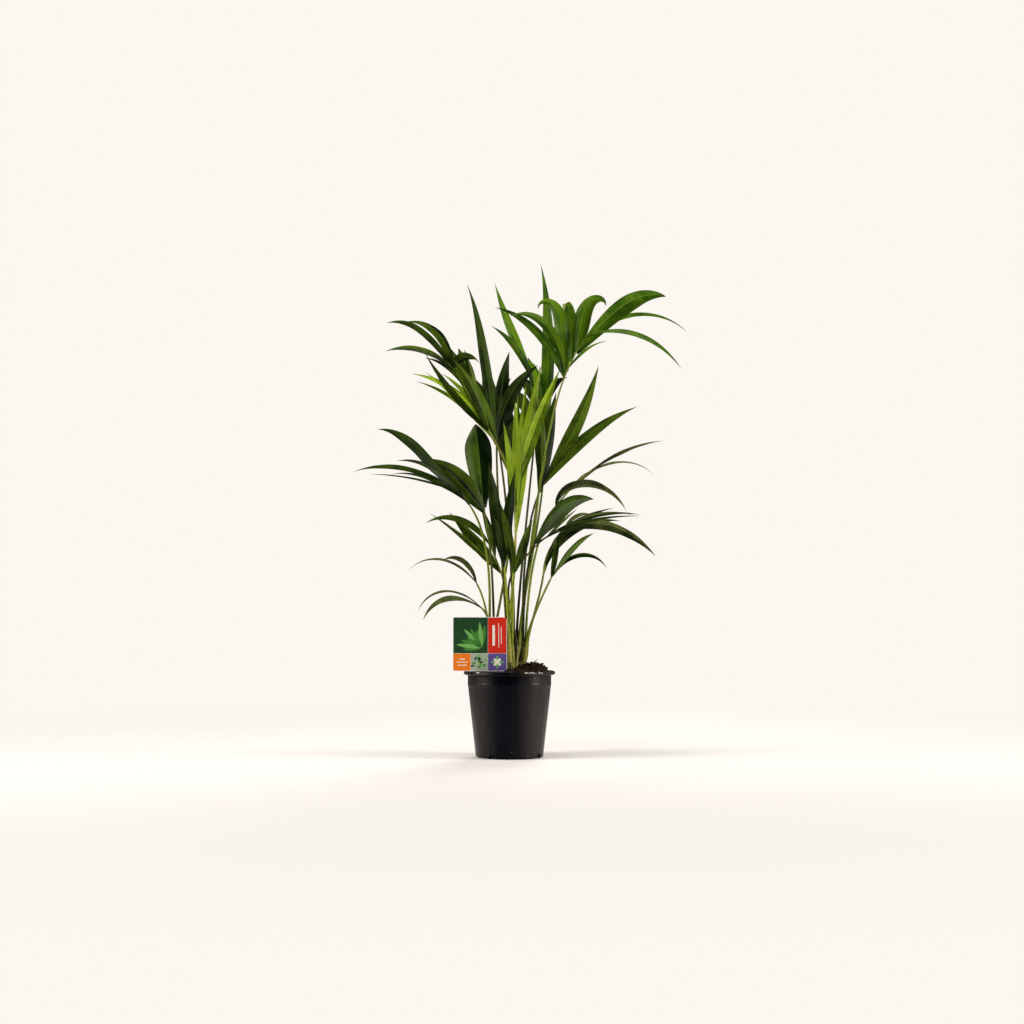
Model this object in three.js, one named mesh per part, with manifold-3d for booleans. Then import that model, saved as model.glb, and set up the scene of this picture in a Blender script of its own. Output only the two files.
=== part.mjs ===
// A young kentia palm in its black nursery pot: four seedlings planted together, the soil they
// stand in, and the printed plant label on its stake.
// Millimetres, +Z up. The origin is the middle of the pot's flat underside. +X is the plant's right,
// seen from the side of the label, and -Y is that front side.
// Angles are in degrees. A heading is a direction seen from above: 0 is +X, 90 is +Y, the back.

import * as THREE from "three";
import { mergeVertices } from "three/addons/utils/BufferGeometryUtils.js";
import Module from "manifold-3d";

const wasm = await Module();
wasm.setup();

// ---------------------------------------------------------------- driving dimensions

const CLEARANCE = 0.35; // between two solids that touch in the real plant

const POT = {
  height: 170,
  rimRadius: 91,
  rimHeight: 7,
  rimEdge: 2, // how far the rim's edges are eased
  collarRadius: 83, // the band under the rim
  collarHeight: 30,
  collarEdge: 0.6,
  bodyRadius: 82.4, // just under the band
  baseRadius: 67.5,
  cornerRadius: 4,
  wall: 2,
  floor: 3,
  sides: 40,
};

const DRAIN = { count: 4, width: 15, height: 8, depth: 9, firstHeading: -120 };

const SOIL = {
  level: 166,
  crown: 8, // how far it domes
  heap: 16, // a pile to one side, and where it lies
  heapAt: [55, -4],
  heapSpread: 34,
  lump: 1.6,
  lumpLength: { x: 30, y: 37 },
  rings: 8,
  sides: 28,
};

const LABEL = { width: 106, height: 106, thick: 1.2, corner: 6, left: -111, bottom: 172, front: -56 };
const STAKE = { width: 12, depth: 48, middle: -42, overlap: 20 };

// A seedling's short stem: its foot in the soil, its top, and the ring on which its stalks stand.
const STEM = { foot: 164, top: 221, footRadius: 9.5, topRadius: 8.2, flare: 1.4, sides: 12 };
// The handles give how long a stalk keeps the direction of its foot and of its tip, as a share of it.
const STALK = {
  footRadius: 2.8,
  tipRadius: 2,
  ring: 5.6,
  footHandle: 0.16,
  tipHandle: 0.32,
  sides: 6,
  steps: 8,
};
const RIB = { tipRadius: 0.9, sides: 6, steps: 4 };
// A leaflet unfolds from a narrow foot, is widest before its middle, and is drawn out to a fine tip.
const LEAFLET = {
  bow: 1.4,
  foot: 0.22, // its width at the foot, as a share of its widest
  widest: 0.42,
  fold: 0.2, // how far its edges lie below its midrib, as a share of half its width
  thickShare: 0.012,
  leastThick: 1.5,
  thinning: 0.5,
  steps: 5,
};

const COLOURS = {
  leaf: 0x2b4a12,
  young: 0x86a626,
  stalk: 0x6f8f2c,
  stem: 0x6b6a33,
  pot: 0x17171a,
  soil: 0x1e1410,
  label: 0xd8e0d0,
};

// ---------------------------------------------------------------- shared geometry

const UP = new THREE.Vector3(0, 0, 1);
const radians = THREE.MathUtils.degToRad;

// The unit vector with this heading that rises so many degrees above the level.
function direction(heading, rise) {
  const level = Math.cos(radians(rise));
  return new THREE.Vector3(
    level * Math.cos(radians(heading)),
    level * Math.sin(radians(heading)),
    Math.sin(radians(rise)),
  );
}

// A limb's centre line: it leaves start with a heading and a rise, and bows towards the ground by
// droop degrees. With a higher bow it stays straight for longer and then folds over.
class Arch extends THREE.Curve {
  constructor(start, [heading, rise, length, droop], bow = LEAFLET.bow, steps = 32) {
    super();
    Object.assign(this, { bow, droop: radians(droop), rise: radians(rise) });
    this.outward = direction(heading, 0);
    this.level = this.outward.clone().cross(UP);
    this.points = [start.clone()];
    for (let i = 0; i < steps; i++) {
      const step = this.getTangent((i + 0.5) / steps).multiplyScalar(length / steps);
      this.points.push(this.points[i].clone().add(step));
    }
  }
  getTangent(u) {
    const rise = this.rise - this.droop * u ** this.bow;
    return this.outward.clone().multiplyScalar(Math.cos(rise)).setZ(Math.sin(rise));
  }
  getPoint(u) {
    const at = Math.min(u, 1) * (this.points.length - 1);
    const i = Math.min(Math.floor(at), this.points.length - 2);
    return this.points[i].clone().lerp(this.points[i + 1], at - i);
  }
}

// The side of a limb that looks towards face. An arch keeps one angle to its own upright plane all
// the way; any other line turns as little as it can.
function upperSide(line, face) {
  if (!line.level) {
    return (tangent) => face.clone().addScaledVector(tangent, -face.dot(tangent)).normalize();
  }
  const above = line.level.clone().cross(line.getTangent(0));
  const turn = Math.atan2(face.dot(line.level), face.dot(above));
  return (tangent) =>
    line.level
      .clone()
      .cross(tangent)
      .multiplyScalar(Math.cos(turn))
      .addScaledVector(line.level, Math.sin(turn));
}

// A closed limb round a centre line. section(u) gives half its width, half its thickness and how far
// its edges fold away from its upper side, which looks towards face.
function limb(line, face, section, sides, steps, pointed) {
  const shape = new THREE.CylinderGeometry(pointed ? 0 : 1, 1, 1, sides, steps);
  const at = shape.attributes.position;
  const upperAt = upperSide(line, face);
  for (let i = 0; i < at.count; i++) {
    const u = at.getY(i) + 0.5;
    const round = Math.hypot(at.getX(i), at.getZ(i));
    const [x, z] = round > 1e-6 ? [at.getX(i) / round, at.getZ(i) / round] : [0, 0];
    const tangent = line.getTangent(u);
    const upper = upperAt(tangent);
    const side = tangent.clone().cross(upper);
    const [width, thick, fold] = section(u);
    const point = line.getPoint(u).addScaledVector(side, x * width);
    point.addScaledVector(upper, z * thick - fold * Math.abs(x));
    at.setXYZ(i, point.x, point.y, point.z);
  }
  return shape;
}

function solidOf(geometry) {
  const bare = geometry.clone();
  bare.deleteAttribute("normal");
  bare.deleteAttribute("uv");
  const merged = mergeVertices(bare, 1e-4);
  return new wasm.Manifold(
    new wasm.Mesh({
      numProp: 3,
      vertProperties: new Float32Array(merged.attributes.position.array),
      triVerts: new Uint32Array(merged.index.array),
    }),
  );
}

function geometryOf(solid) {
  const mesh = solid.getMesh();
  const geometry = new THREE.BufferGeometry();
  geometry.setAttribute("position", new THREE.BufferAttribute(mesh.vertProperties, 3));
  geometry.setIndex(new THREE.BufferAttribute(mesh.triVerts, 1));
  geometry.computeVertexNormals();
  return geometry;
}

const palm = new THREE.Group();

function addNode(name, geometry, colour, roughness = 0.6) {
  const material = new THREE.MeshStandardMaterial({ color: colour, roughness, metalness: 0 });
  const mesh = new THREE.Mesh(geometry, material);
  mesh.name = name;
  palm.add(mesh);
}

// ---------------------------------------------------------------- pot

// A moulded pot: a closed profile turned about the pot's axis, with drain notches cut through the
// bottom edge.
function makePot() {
  const { height, rimRadius, rimEdge, collarRadius, bodyRadius, baseRadius } = POT;
  const { cornerRadius, wall, floor } = POT;
  const rimFoot = height - POT.rimHeight;
  const bandFoot = height - POT.collarHeight;
  const profile = [
    [0, 0],
    [baseRadius - cornerRadius, 0],
    [baseRadius, cornerRadius],
    [bodyRadius, bandFoot],
    [collarRadius, bandFoot + POT.collarEdge],
    [collarRadius, rimFoot],
    [rimRadius - rimEdge, rimFoot],
    [rimRadius, rimFoot + rimEdge],
    [rimRadius, height - rimEdge],
    [rimRadius - rimEdge, height],
    [collarRadius - wall, height],
    [bodyRadius - wall, bandFoot],
    [baseRadius - wall, floor],
    [0, floor],
  ].map(([x, y]) => new THREE.Vector2(x, y));
  let pot = solidOf(new THREE.LatheGeometry(profile, POT.sides).rotateX(Math.PI / 2));
  for (let i = 0; i < DRAIN.count; i++) {
    const heading = radians(DRAIN.firstHeading + (360 * i) / DRAIN.count);
    const notch = new THREE.BoxGeometry(2 * DRAIN.depth, DRAIN.width, 2 * DRAIN.height)
      .translate(baseRadius, 0, 0)
      .rotateZ(heading);
    pot = pot.subtract(solidOf(notch));
  }
  return pot;
}

// ---------------------------------------------------------------- soil and label

// Radius of the soil where it meets the pot's inner wall at this height.
function soilRadius(z) {
  const rise = (z - POT.floor) / (POT.height - POT.floor);
  return POT.baseRadius + (POT.bodyRadius - POT.baseRadius) * rise - POT.wall - 2 * CLEARANCE;
}

// Height of the soil above its edge: a lumpy dome, and a pile to one side that reaches nearly to the
// pot's wall.
function soilHeap(x, y) {
  const out = Math.min(Math.hypot(x, y) / soilRadius(SOIL.level), 1);
  const [heapX, heapY] = SOIL.heapAt;
  const near = Math.exp(-((x - heapX) ** 2 + (y - heapY) ** 2) / SOIL.heapSpread ** 2);
  const waveX = Math.sin((2 * Math.PI * x) / SOIL.lumpLength.x + 1);
  const waveY = Math.cos((2 * Math.PI * y) / SOIL.lumpLength.y);
  const dome = SOIL.crown * (1 - out ** 2) + SOIL.lump * waveX * waveY;
  return (1 - out ** 4) * dome + (1 - out ** 14) * SOIL.heap * near;
}

function soilSolid() {
  const foot = POT.floor + CLEARANCE;
  const edge = soilRadius(SOIL.level);
  const profile = [new THREE.Vector2(0, foot), new THREE.Vector2(soilRadius(foot), foot)];
  for (let i = 0; i < SOIL.rings; i++) {
    profile.push(new THREE.Vector2(edge * Math.cos((i / SOIL.rings) * (Math.PI / 2)), SOIL.level));
  }
  profile.push(new THREE.Vector2(0, SOIL.level));
  const shape = new THREE.LatheGeometry(profile, SOIL.sides).rotateX(Math.PI / 2);
  const at = shape.attributes.position;
  for (let i = 0; i < at.count; i++) {
    if (at.getZ(i) > SOIL.level - 1) at.setZ(i, SOIL.level + soilHeap(at.getX(i), at.getY(i)));
  }
  return solidOf(shape);
}

// A rounded card on a stake, one piece of sheet, standing upright and facing the front.
function labelSolid(extra = 0) {
  const { width, height, corner, left, bottom } = LABEL;
  const card = new THREE.Shape();
  card.moveTo(left + corner, bottom);
  card.lineTo(left + width - corner, bottom);
  card.absarc(left + width - corner, bottom + corner, corner, -Math.PI / 2, 0);
  card.absarc(left + width - corner, bottom + height - corner, corner, 0, Math.PI / 2);
  card.absarc(left + corner, bottom + height - corner, corner, Math.PI / 2, Math.PI);
  card.absarc(left + corner, bottom + corner, corner, Math.PI, 1.5 * Math.PI);
  const thick = LABEL.thick + 2 * extra;
  const options = { depth: thick, bevelEnabled: false, curveSegments: 4 };
  const sheet = new THREE.ExtrudeGeometry(card, options);
  const length = STAKE.depth + STAKE.overlap;
  const stake = new THREE.BoxGeometry(STAKE.width + 2 * extra, length + extra, thick).translate(
    STAKE.middle,
    bottom - STAKE.depth + (length - extra) / 2,
    thick / 2,
  );
  return [sheet, stake]
    .map((piece) => solidOf(piece.rotateX(Math.PI / 2).translate(0, LABEL.front + thick / 2, 0)))
    .reduce((whole, piece) => whole.add(piece));
}

// ---------------------------------------------------------------- stems

// Each seedling: where its stem stands, where its top is, and the heading on its top of the first of
// its stalks, which stand in a ring in the order of their list below.
const SEEDLINGS = {
  right: { foot: [20, 4], top: [30, 3], first: 240 },
  back: { foot: [10, 34], top: [14, 38], first: 270 },
  left: { foot: [-29, 12], top: [-36, 12], first: 40 },
  middle: { foot: [2, -18], top: [0, -20], first: 91 },
};

// A leaning round stem, flared at the foot.
function stemSolid({ foot, top }, extra = 0) {
  const line = new THREE.LineCurve3(
    new THREE.Vector3(foot[0], foot[1], STEM.foot),
    new THREE.Vector3(top[0], top[1], STEM.top),
  );
  const shape = new THREE.CylinderGeometry(1, 1, 1, STEM.sides, 4);
  const at = shape.attributes.position;
  for (let i = 0; i < at.count; i++) {
    const u = at.getY(i) + 0.5;
    const middle = line.getPoint(u);
    const radius = STEM.topRadius + (STEM.footRadius - STEM.topRadius) * (1 - u) ** STEM.flare + extra;
    const z = at.getY(i) < -0.49 ? middle.z - extra : middle.z;
    at.setXYZ(i, middle.x + radius * at.getZ(i), middle.y + radius * at.getX(i), z);
  }
  return solidOf(shape);
}

// ---------------------------------------------------------------- fronds

// collar: where the stalk ends and the blade begins. rib: [heading, rise, length, droop] of the rib
// that carries the leaflets. face: [heading, rise] that the blade's upper side looks towards.
// leaflets: each [how far along the rib it leaves, heading, rise, length, droop, width, and where
// they aren't usual, its bow and how far along it is widest].
const FRONDS = [
  {
    name: "right_broad",
    seedling: "right", collar: [45, -66, 413], rib: [-45, 66, 14, 5], face: [-100, 50],
    leaflets: [[0.95, -45, 53, 188, 64, 42], [0.5, -20, 36, 232, 40, 9, 0.8]],
  },
  {
    name: "right_low_small",
    seedling: "right", collar: [79, -60, 349], rib: [-30, 60, 14, 5], face: [-110, 50],
    leaflets: [[0.95, -40, 54, 134, 38, 17], [0.8, -15, 58, 138, 124, 12], [0.5, -60, 74, 90, 10, 14]],
  },
  {
    name: "right_low_long",
    seedling: "right", collar: [67, -22, 361], rib: [-20, 82, 78, 30], face: [-110, 60],
    leaflets: [
      [0.96, -20, 72, 238, 121, 23, 0.5], [0.3, -60, 60, 70, 20, 12], [0.05, -12, 85, 208, 95, 20, 0.85],
    ],
  },
  {
    name: "right_mid_arch",
    seedling: "right", collar: [93, 74, 499], rib: [25, 50, 122, 16], face: [-80, 55],
    leaflets: [
      [0.97, 5, 35, 162, 31, 11], [0.8, 30, 31, 184, 70, 8], [0.06, -20, 108, 191, 168, 23, 0.5],
      [0.5, 55, 32, 110, 20, 10],
    ],
  },
  {
    name: "right_mid_pair",
    seedling: "right", collar: [59, 34, 525], rib: [20, 66, 26, 5], face: [-80, 30],
    leaflets: [
      [0.2, -20, 81.5, 206, 4, 30], [0.96, 24, 56, 278, -17, 28], [0.9, 10, 53, 258, 33, 25],
      [0.6, -95, 80, 190, 10, 24],
    ],
  },
  {
    name: "right_high",
    seedling: "right", collar: [89, -66, 686], rib: [-15, 76, 180, 31], face: [-100, 25],
    leaflets: [
      [0.37, 200, 66, 206, 58, 17], [0.37, 215, 86, 204, 112, 20], [0.44, 165, 84, 181, 200, 31, 6],
      [0.56, 250, 88, 153, 260, 26, 5], [0.67, -20, 80.5, 147, 190, 34, 4.5],
      [0.67, -15, 47, 220, 70, 37, 3, 0.58], [0.87, 20, 39, 244, 83, 12],
      [0.9, -35, 15, 240, 69, 10, 0.9], [0.47, 40, 48, 132, 42, 7],
    ],
  },
  {
    name: "back_low_right",
    seedling: "back", collar: [9, 28, 369], rib: [16, 52, 158, 30], face: [-80, 55],
    leaflets: [
      [0.97, 20, 26, 106, 18, 9], [0.9, 0, 27, 148, 44, 11], [0.8, -15, 25, 178, 38, 12],
      [0.62, 20, 44, 92, 8, 7], [0.75, 75, 35, 150, 50, 12], [0.93, 60, 30, 150, 60, 12],
    ],
  },
  {
    name: "back_narrow",
    seedling: "back", collar: [55, 68, 729], rib: [170, 78, 44, 0], face: [-90, 15],
    leaflets: [
      [0.96, 155, 61.5, 214, -11, 19, 1.2], [0.6, 200, 68, 150, 42, 14], [0.3, 105, 66, 90, 30, 20],
    ],
  },
  {
    name: "back_spear",
    seedling: "back", collar: [73, 84, 627], rib: [90, 84, 24, 0], face: [-90, 10],
    leaflets: [
      [0.96, 180, 92.5, 355, 16, 26, 3], [0.6, 100, 70, 220, 40, 28], [0.4, -150, 85, 156, 0, 18],
      [0.2, 110, 74, 220, 30, 26],
    ],
  },
  {
    name: "back_right",
    seedling: "back", collar: [52, 104, 645], rib: [80, 60, 90, 14], face: [-100, 40],
    leaflets: [
      [0.97, 75, 44, 190, 60, 26], [0.8, 105, 50, 200, 60, 26], [0.5, 60, 62, 180, 60, 26],
      [0.3, 122, 56, 170, 50, 26],
    ],
  },
  {
    name: "back_left",
    seedling: "back", collar: [-2, 92, 555], rib: [100, 68, 90, 10], face: [-80, 40],
    leaflets: [
      [0.97, 85, 50, 180, 50, 24], [0.8, 100, 56, 190, 50, 24], [0.5, 75, 62, 180, 50, 24],
      [0.3, 108, 60, 150, 60, 22],
    ],
  },
  {
    name: "back_high",
    seedling: "back", collar: [-24, 104, 635], rib: [112, 64, 80, 12], face: [-70, 40],
    leaflets: [
      [0.97, 95, 56, 190, 50, 28], [0.8, 115, 54, 190, 50, 26], [0.5, 75, 62, 180, 50, 26],
      [0.3, 125, 60, 160, 50, 24],
    ],
  },
  {
    name: "left_low",
    seedling: "middle", collar: [-15, 2, 361], rib: [175, 70, 80, 5], face: [-90, 45],
    leaflets: [
      [0.84, 180, 55, 152, 90, 15], [0.05, 192, 46, 190, 16, 13], [0.1, 172, 52, 160, 8, 28],
      [0.5, 120, 72, 120, 30, 16],
    ],
  },
  {
    name: "left_yellow",
    seedling: "left", collar: [-16, 66, 610], rib: [170, 64, 58, 6], face: [-80, 40],
    leaflets: [
      [0.95, 160, 55.5, 220, 49, 17], [0.6, 205, 48.5, 208, 39, 13], [0.5, 165, 51.5, 212, 18, 15],
      [0.9, 190, 64, 158, 36, 15], [0.8, 150, 66, 172, 16, 16],
    ],
  },
  {
    name: "left_small_upper",
    seedling: "left", collar: [-63, 12, 339], rib: [180, 62, 12, 0], face: [-60, 55],
    leaflets: [[0.95, 160, 48, 167, 95, 10], [0.5, 205, 77, 104, 110, 13]],
  },
  {
    name: "middle_left_low",
    seedling: "left", collar: [-74, -62, 491], rib: [195, 57, 36, 5], face: [-70, 50],
    leaflets: [
      [0.9, 200, 46, 222, 54, 36, 4], [0.6, 160, 38.5, 266, 60, 25, 1.4, 0.58],
      [0.95, 215, 24, 216, 26, 8, 0.7], [0.5, 145, 35, 212, 44, 16], [0.3, 225, 45, 214, 56, 18],
    ],
  },
  {
    name: "left_small_lower",
    seedling: "left", collar: [-53, -22, 293], rib: [190, 45, 12, 0], face: [-60, 60],
    leaflets: [[0.95, 195, 42, 150, 116, 8], [0.5, 215, 30, 158, 98, 15]],
  },
  {
    name: "middle_high",
    seedling: "middle", collar: [-17, -8, 605], rib: [195, 61, 202, 4], face: [-70, 40],
    leaflets: [
      [0.97, 205, 54, 176, 75, 17, 2], [0.96, 155, 78, 172, 92, 20], [0.9, 215, 51, 180, 72, 14, 0.8],
      [0.9, 145, 70, 96, 60, 13], [0.75, 200, 56, 104, 56, 9], [0.5, 200, 82, 122, 12, 17],
      [0.96, -40, 75, 84, 122, 22, 0.7], [0.25, 190, 44, 203, -14, 19],
      [0.3, 152, 67, 200, 14, 32, 1.4, 0.55], [0.25, 225, 66, 170, 30, 24], [0.1, 165, 74, 190, 24, 26],
      [0.5, 165, 79, 130, 16, 30, 1.4, 0.55],
    ],
  },
  {
    name: "left_dark_fan",
    seedling: "middle", collar: [-26, 34, 623], rib: [90, 85, 30, 0], face: [-90, 10],
    leaflets: [
      [0.5, 160, 81, 328, 16, 21, 5], [0.96, 50, 80.5, 174, 12, 28, 2], [0.8, 12, 77, 172, 44, 30],
      [0.4, 50, 72, 150, 44, 30], [0.7, 105, 70, 220, 50, 28], [0.6, 150, 76, 150, 30, 28],
    ],
  },
  {
    name: "middle_broad",
    seedling: "left", collar: [-49, -24, 483], rib: [150, 76, 14, 0], face: [-90, 14],
    leaflets: [
      [0.96, 116, 78, 174, 2, 54, 1.4, 0.7], [0.5, 200, 60, 160, 47, 30], [0.2, 200, 49, 128, 6, 26],
    ],
  },
  {
    name: "middle_dark",
    seedling: "middle", collar: [-9, -58, 369], rib: [-120, 80, 16, 0], face: [-60, 20],
    leaflets: [[0.95, -120, 76, 205, 8, 32], [0.5, -100, 60, 150, 50, 16], [0.8, -40, 84, 190, 6, 24]],
  },
  {
    name: "middle_front",
    seedling: "middle", collar: [9, -66, 357], rib: [-60, 72, 12, 0], face: [-100, 30],
    leaflets: [[0.95, -60, 60, 122, 10, 20], [0.5, -130, 78, 150, 14, 18]],
  },
  {
    name: "middle_young",
    seedling: "middle", collar: [11, -34, 425], rib: [60, 84, 150, 6], face: [-90, 10],
    leaflets: [
      [0.5, -95, 80, 216, 8, 17], [0.7, 50, 80, 216, 8, 17], [0.9, 35, 79, 236, 6, 18],
      [0.97, 0, 72, 222, 8, 22], [0.8, 20, 72, 204, 8, 17], [0.4, 150, 83, 190, 6, 16],
      [0.1, 50, 80, 280, 4, 17], [0.6, 90, 80, 223, 6, 15], [0.75, 71, 80, 219, 5, 16],
    ],
  },
];

// Width of a leaflet at u along it, as a share of its widest. One that is widest near its end is
// blunter there.
function leafletShare(u, widest) {
  const quarter = Math.PI / 2;
  if (u < widest) return LEAFLET.foot + (1 - LEAFLET.foot) * Math.sin((u / widest) * quarter);
  return Math.cos(((u - widest) / (1 - widest)) * quarter) ** (1.5 - widest);
}

function leafletSolid(start, face, leaflet) {
  const [, heading, rise, length, droop, width, bow, widest = LEAFLET.widest] = leaflet;
  const line = new Arch(start, [heading, rise, length, droop], bow);
  const thick = Math.max(length * LEAFLET.thickShare, LEAFLET.leastThick) / 2;
  const section = (u) => {
    const half = (width / 2) * leafletShare(u, widest);
    return [half, thick * (1 - LEAFLET.thinning * u), half * LEAFLET.fold];
  };
  return solidOf(limb(line, face, section, 4, LEAFLET.steps, true));
}

// The blade: its rib with every leaflet fused on.
function bladeSolid({ collar, rib, face, leaflets }) {
  const start = new THREE.Vector3(...collar).addScaledVector(direction(rib[0], rib[1]), CLEARANCE);
  const line = new Arch(start, rib);
  const looks = direction(...face);
  const section = (u) => {
    const radius = STALK.tipRadius + (RIB.tipRadius - STALK.tipRadius) * u;
    return [radius, radius, 0];
  };
  let blade = solidOf(limb(line, looks, section, RIB.sides, RIB.steps, false));
  for (const leaflet of leaflets) {
    blade = blade.add(leafletSolid(line.getPoint(leaflet[0]), looks, leaflet));
  }
  return blade;
}

// The stalk: from its place on the ring at the top of the stem, up and out to the collar, where it
// takes the rib's direction.
function stalkSolid({ collar, rib }, { top }, place) {
  const [x, y] = top;
  const foot = new THREE.Vector3(
    x + STALK.ring * Math.cos(place),
    y + STALK.ring * Math.sin(place),
    STEM.top + CLEARANCE,
  );
  const end = new THREE.Vector3(...collar);
  const reach = end.distanceTo(foot);
  const line = new THREE.CubicBezierCurve3(
    foot,
    foot.clone().addScaledVector(UP, reach * STALK.footHandle),
    end.clone().addScaledVector(direction(rib[0], rib[1]), -reach * STALK.tipHandle),
    end,
  );
  const section = (u) => {
    const radius = STALK.footRadius + (STALK.tipRadius - STALK.footRadius) * u;
    return [radius, radius, 0];
  };
  return solidOf(limb(line, direction(-90, 0), section, STALK.sides, STALK.steps, false));
}

// ---------------------------------------------------------------- assembly

let soil = soilSolid().subtract(labelSolid(CLEARANCE));
for (const [name, seedling] of Object.entries(SEEDLINGS)) {
  soil = soil.subtract(stemSolid(seedling, CLEARANCE));
  addNode(`stem_${name}`, geometryOf(stemSolid(seedling)), COLOURS.stem);
  const fronds = FRONDS.filter((frond) => frond.seedling === name);
  fronds.forEach((frond, i) => {
    const place = radians(seedling.first + (360 * i) / fronds.length);
    const colour = /young|yellow/.test(frond.name) ? COLOURS.young : COLOURS.leaf;
    addNode(`stalk_${frond.name}`, geometryOf(stalkSolid(frond, seedling, place)), COLOURS.stalk);
    addNode(`frond_${frond.name}`, geometryOf(bladeSolid(frond)), colour);
  });
}

addNode("pot", geometryOf(makePot()), COLOURS.pot, 0.45);
addNode("soil", geometryOf(soil), COLOURS.soil, 0.95);
addNode("label", geometryOf(labelSolid()), COLOURS.label, 0.5);

export default palm;
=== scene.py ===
# A young kentia palm in its black nursery pot: four seedlings planted together, with a picture label
# on a stake. Lengths are in millimetres and angles in degrees, and a mesh is turned to metres when it
# is made. +X is the plant's right seen from the label's side, -Y is that front side, +Z is up.
# A heading is a direction seen from above: 0 is +X, 90 is +Y, the back.

from types import SimpleNamespace as Sizes

import bmesh
import bpy
import numpy as np
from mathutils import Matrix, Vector


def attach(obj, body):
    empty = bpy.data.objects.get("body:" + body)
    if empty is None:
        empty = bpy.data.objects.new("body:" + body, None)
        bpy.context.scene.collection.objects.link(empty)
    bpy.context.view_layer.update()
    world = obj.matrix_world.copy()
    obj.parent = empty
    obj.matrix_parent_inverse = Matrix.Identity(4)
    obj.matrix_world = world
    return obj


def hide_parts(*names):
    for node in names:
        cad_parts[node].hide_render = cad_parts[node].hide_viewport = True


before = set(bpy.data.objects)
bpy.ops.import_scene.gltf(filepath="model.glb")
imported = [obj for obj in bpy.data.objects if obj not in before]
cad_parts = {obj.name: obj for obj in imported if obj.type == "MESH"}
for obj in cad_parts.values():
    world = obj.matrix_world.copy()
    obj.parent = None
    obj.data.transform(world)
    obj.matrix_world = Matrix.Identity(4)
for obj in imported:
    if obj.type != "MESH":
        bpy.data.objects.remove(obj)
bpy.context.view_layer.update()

# ------------------------------------------------------------------------------------------ camera
# A long lens at the height of the lower fronds, square to the label, that takes in the whole palm
# with wide margins.

MM = 0.001
CAMERA = Sizes(at=(5, -3700, 325), looks_at=(5, 0, 487), lens=65.1, sensor=36.0, far=60000)


def turn_to(thing, at, looks_at):
    """Puts a camera or a light at a place and turns its -Z towards another."""
    thing.location = Vector(at) * MM
    thing.rotation_euler = (Vector(looks_at) - Vector(at)).to_track_quat("-Z", "Y").to_euler()


camera_data = bpy.data.cameras.new("camera")
camera_data.lens = CAMERA.lens
camera_data.sensor_width = CAMERA.sensor
camera_data.clip_end = CAMERA.far * MM
camera = bpy.data.objects.new("camera", camera_data)
bpy.context.collection.objects.link(camera)
turn_to(camera, CAMERA.at, CAMERA.looks_at)
bpy.context.scene.camera = camera
bpy.context.scene.view_settings.view_transform = "Standard"

# ------------------------------------------------------------------------------------ light and air
# A cream studio. The camera sees a paper-coloured backdrop in a dim room. Two tall soft boxes light the
# palm from its sides, and the lamps above and behind, which also shine through the young leaves, show
# in no glossy surface.

BACKDROP = (0.973, 0.930, 0.871)
ROOM_BELOW = (0.016, 0.015, 0.011)
ROOM_ABOVE = (0.10, 0.097, 0.088)
ROOM_FADE = (-0.6, 0.9)  # the heights, of 1 straight up, between which the one becomes the other
LAMP_COLOUR = (1.0, 0.962, 0.905)
# Each lamp: where it stands, what it looks at, its width and height, and its watts.
LAMPS = {
    "box_left": ((-2200, -700, 1100), (0, 0, 560), (900, 1500), 84),
    "box_right": ((2200, -500, 900), (0, 0, 480), (700, 1500), 66),
    "lamp_above": ((-300, -500, 2300), (0, 0, 600), (1200, 900), 26),
    "lamp_behind": ((500, 1700, 1500), (0, 0, 640), (1100, 1100), 46),
}


def feed(node, inputs):
    """Gives a node's sockets, by name or number, a value of their own or another node's output. A
    colour is three numbers."""
    for socket, value in dict(inputs).items():
        if isinstance(value, bpy.types.NodeSocket):
            node.id_data.links.new(value, node.inputs[socket])
        else:
            is_colour = node.inputs[socket].type == "RGBA"
            node.inputs[socket].default_value = (*value, 1.0) if is_colour else value


def add_node(tree, kind, inputs=(), **settings):
    """Adds a shader node with these settings to a tree, feeds its sockets and returns its outputs."""
    made = tree.nodes.new(kind)
    for name, value in settings.items():
        setattr(made, name, value)
    feed(made, inputs)
    return made.outputs


def lead_through(kind, inputs, **settings):
    """The outputs of a new node, in the tree that its inputs come from."""
    tree = next(value.id_data for value in inputs.values() if isinstance(value, bpy.types.NodeSocket))
    return add_node(tree, kind, inputs, **settings)


def mix_colour(share, first, second):
    """The first colour where share is 0 and the second where it is 1."""
    return lead_through("ShaderNodeMix", {0: share, 6: first, 7: second}, data_type="RGBA")[2]


def scaled(value, low, high, new_low=0.0, new_high=1.0):
    """value, stretched so that low becomes new_low and high becomes new_high, and kept there."""
    sockets = {"Value": value, "From Min": low, "From Max": high, "To Min": new_low, "To Max": new_high}
    return lead_through("ShaderNodeMapRange", sockets)[0]


def axes_of(vector):
    """The x, y and z of a vector."""
    return lead_through("ShaderNodeSeparateXYZ", {0: vector})


world = bpy.data.worlds.new("studio")
bpy.context.scene.world = world
world.use_nodes = True
air = world.node_tree
air.nodes.clear()
air_height = axes_of(add_node(air, "ShaderNodeTexCoord")["Generated"])["Z"]
air_light = mix_colour(scaled(air_height, *ROOM_FADE), ROOM_BELOW, ROOM_ABOVE)
air_seen = add_node(air, "ShaderNodeLightPath")["Is Camera Ray"]
air_surface = add_node(air, "ShaderNodeBackground", {"Color": mix_colour(air_seen, air_light, BACKDROP)})
add_node(air, "ShaderNodeOutputWorld", {"Surface": air_surface[0]})

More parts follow.
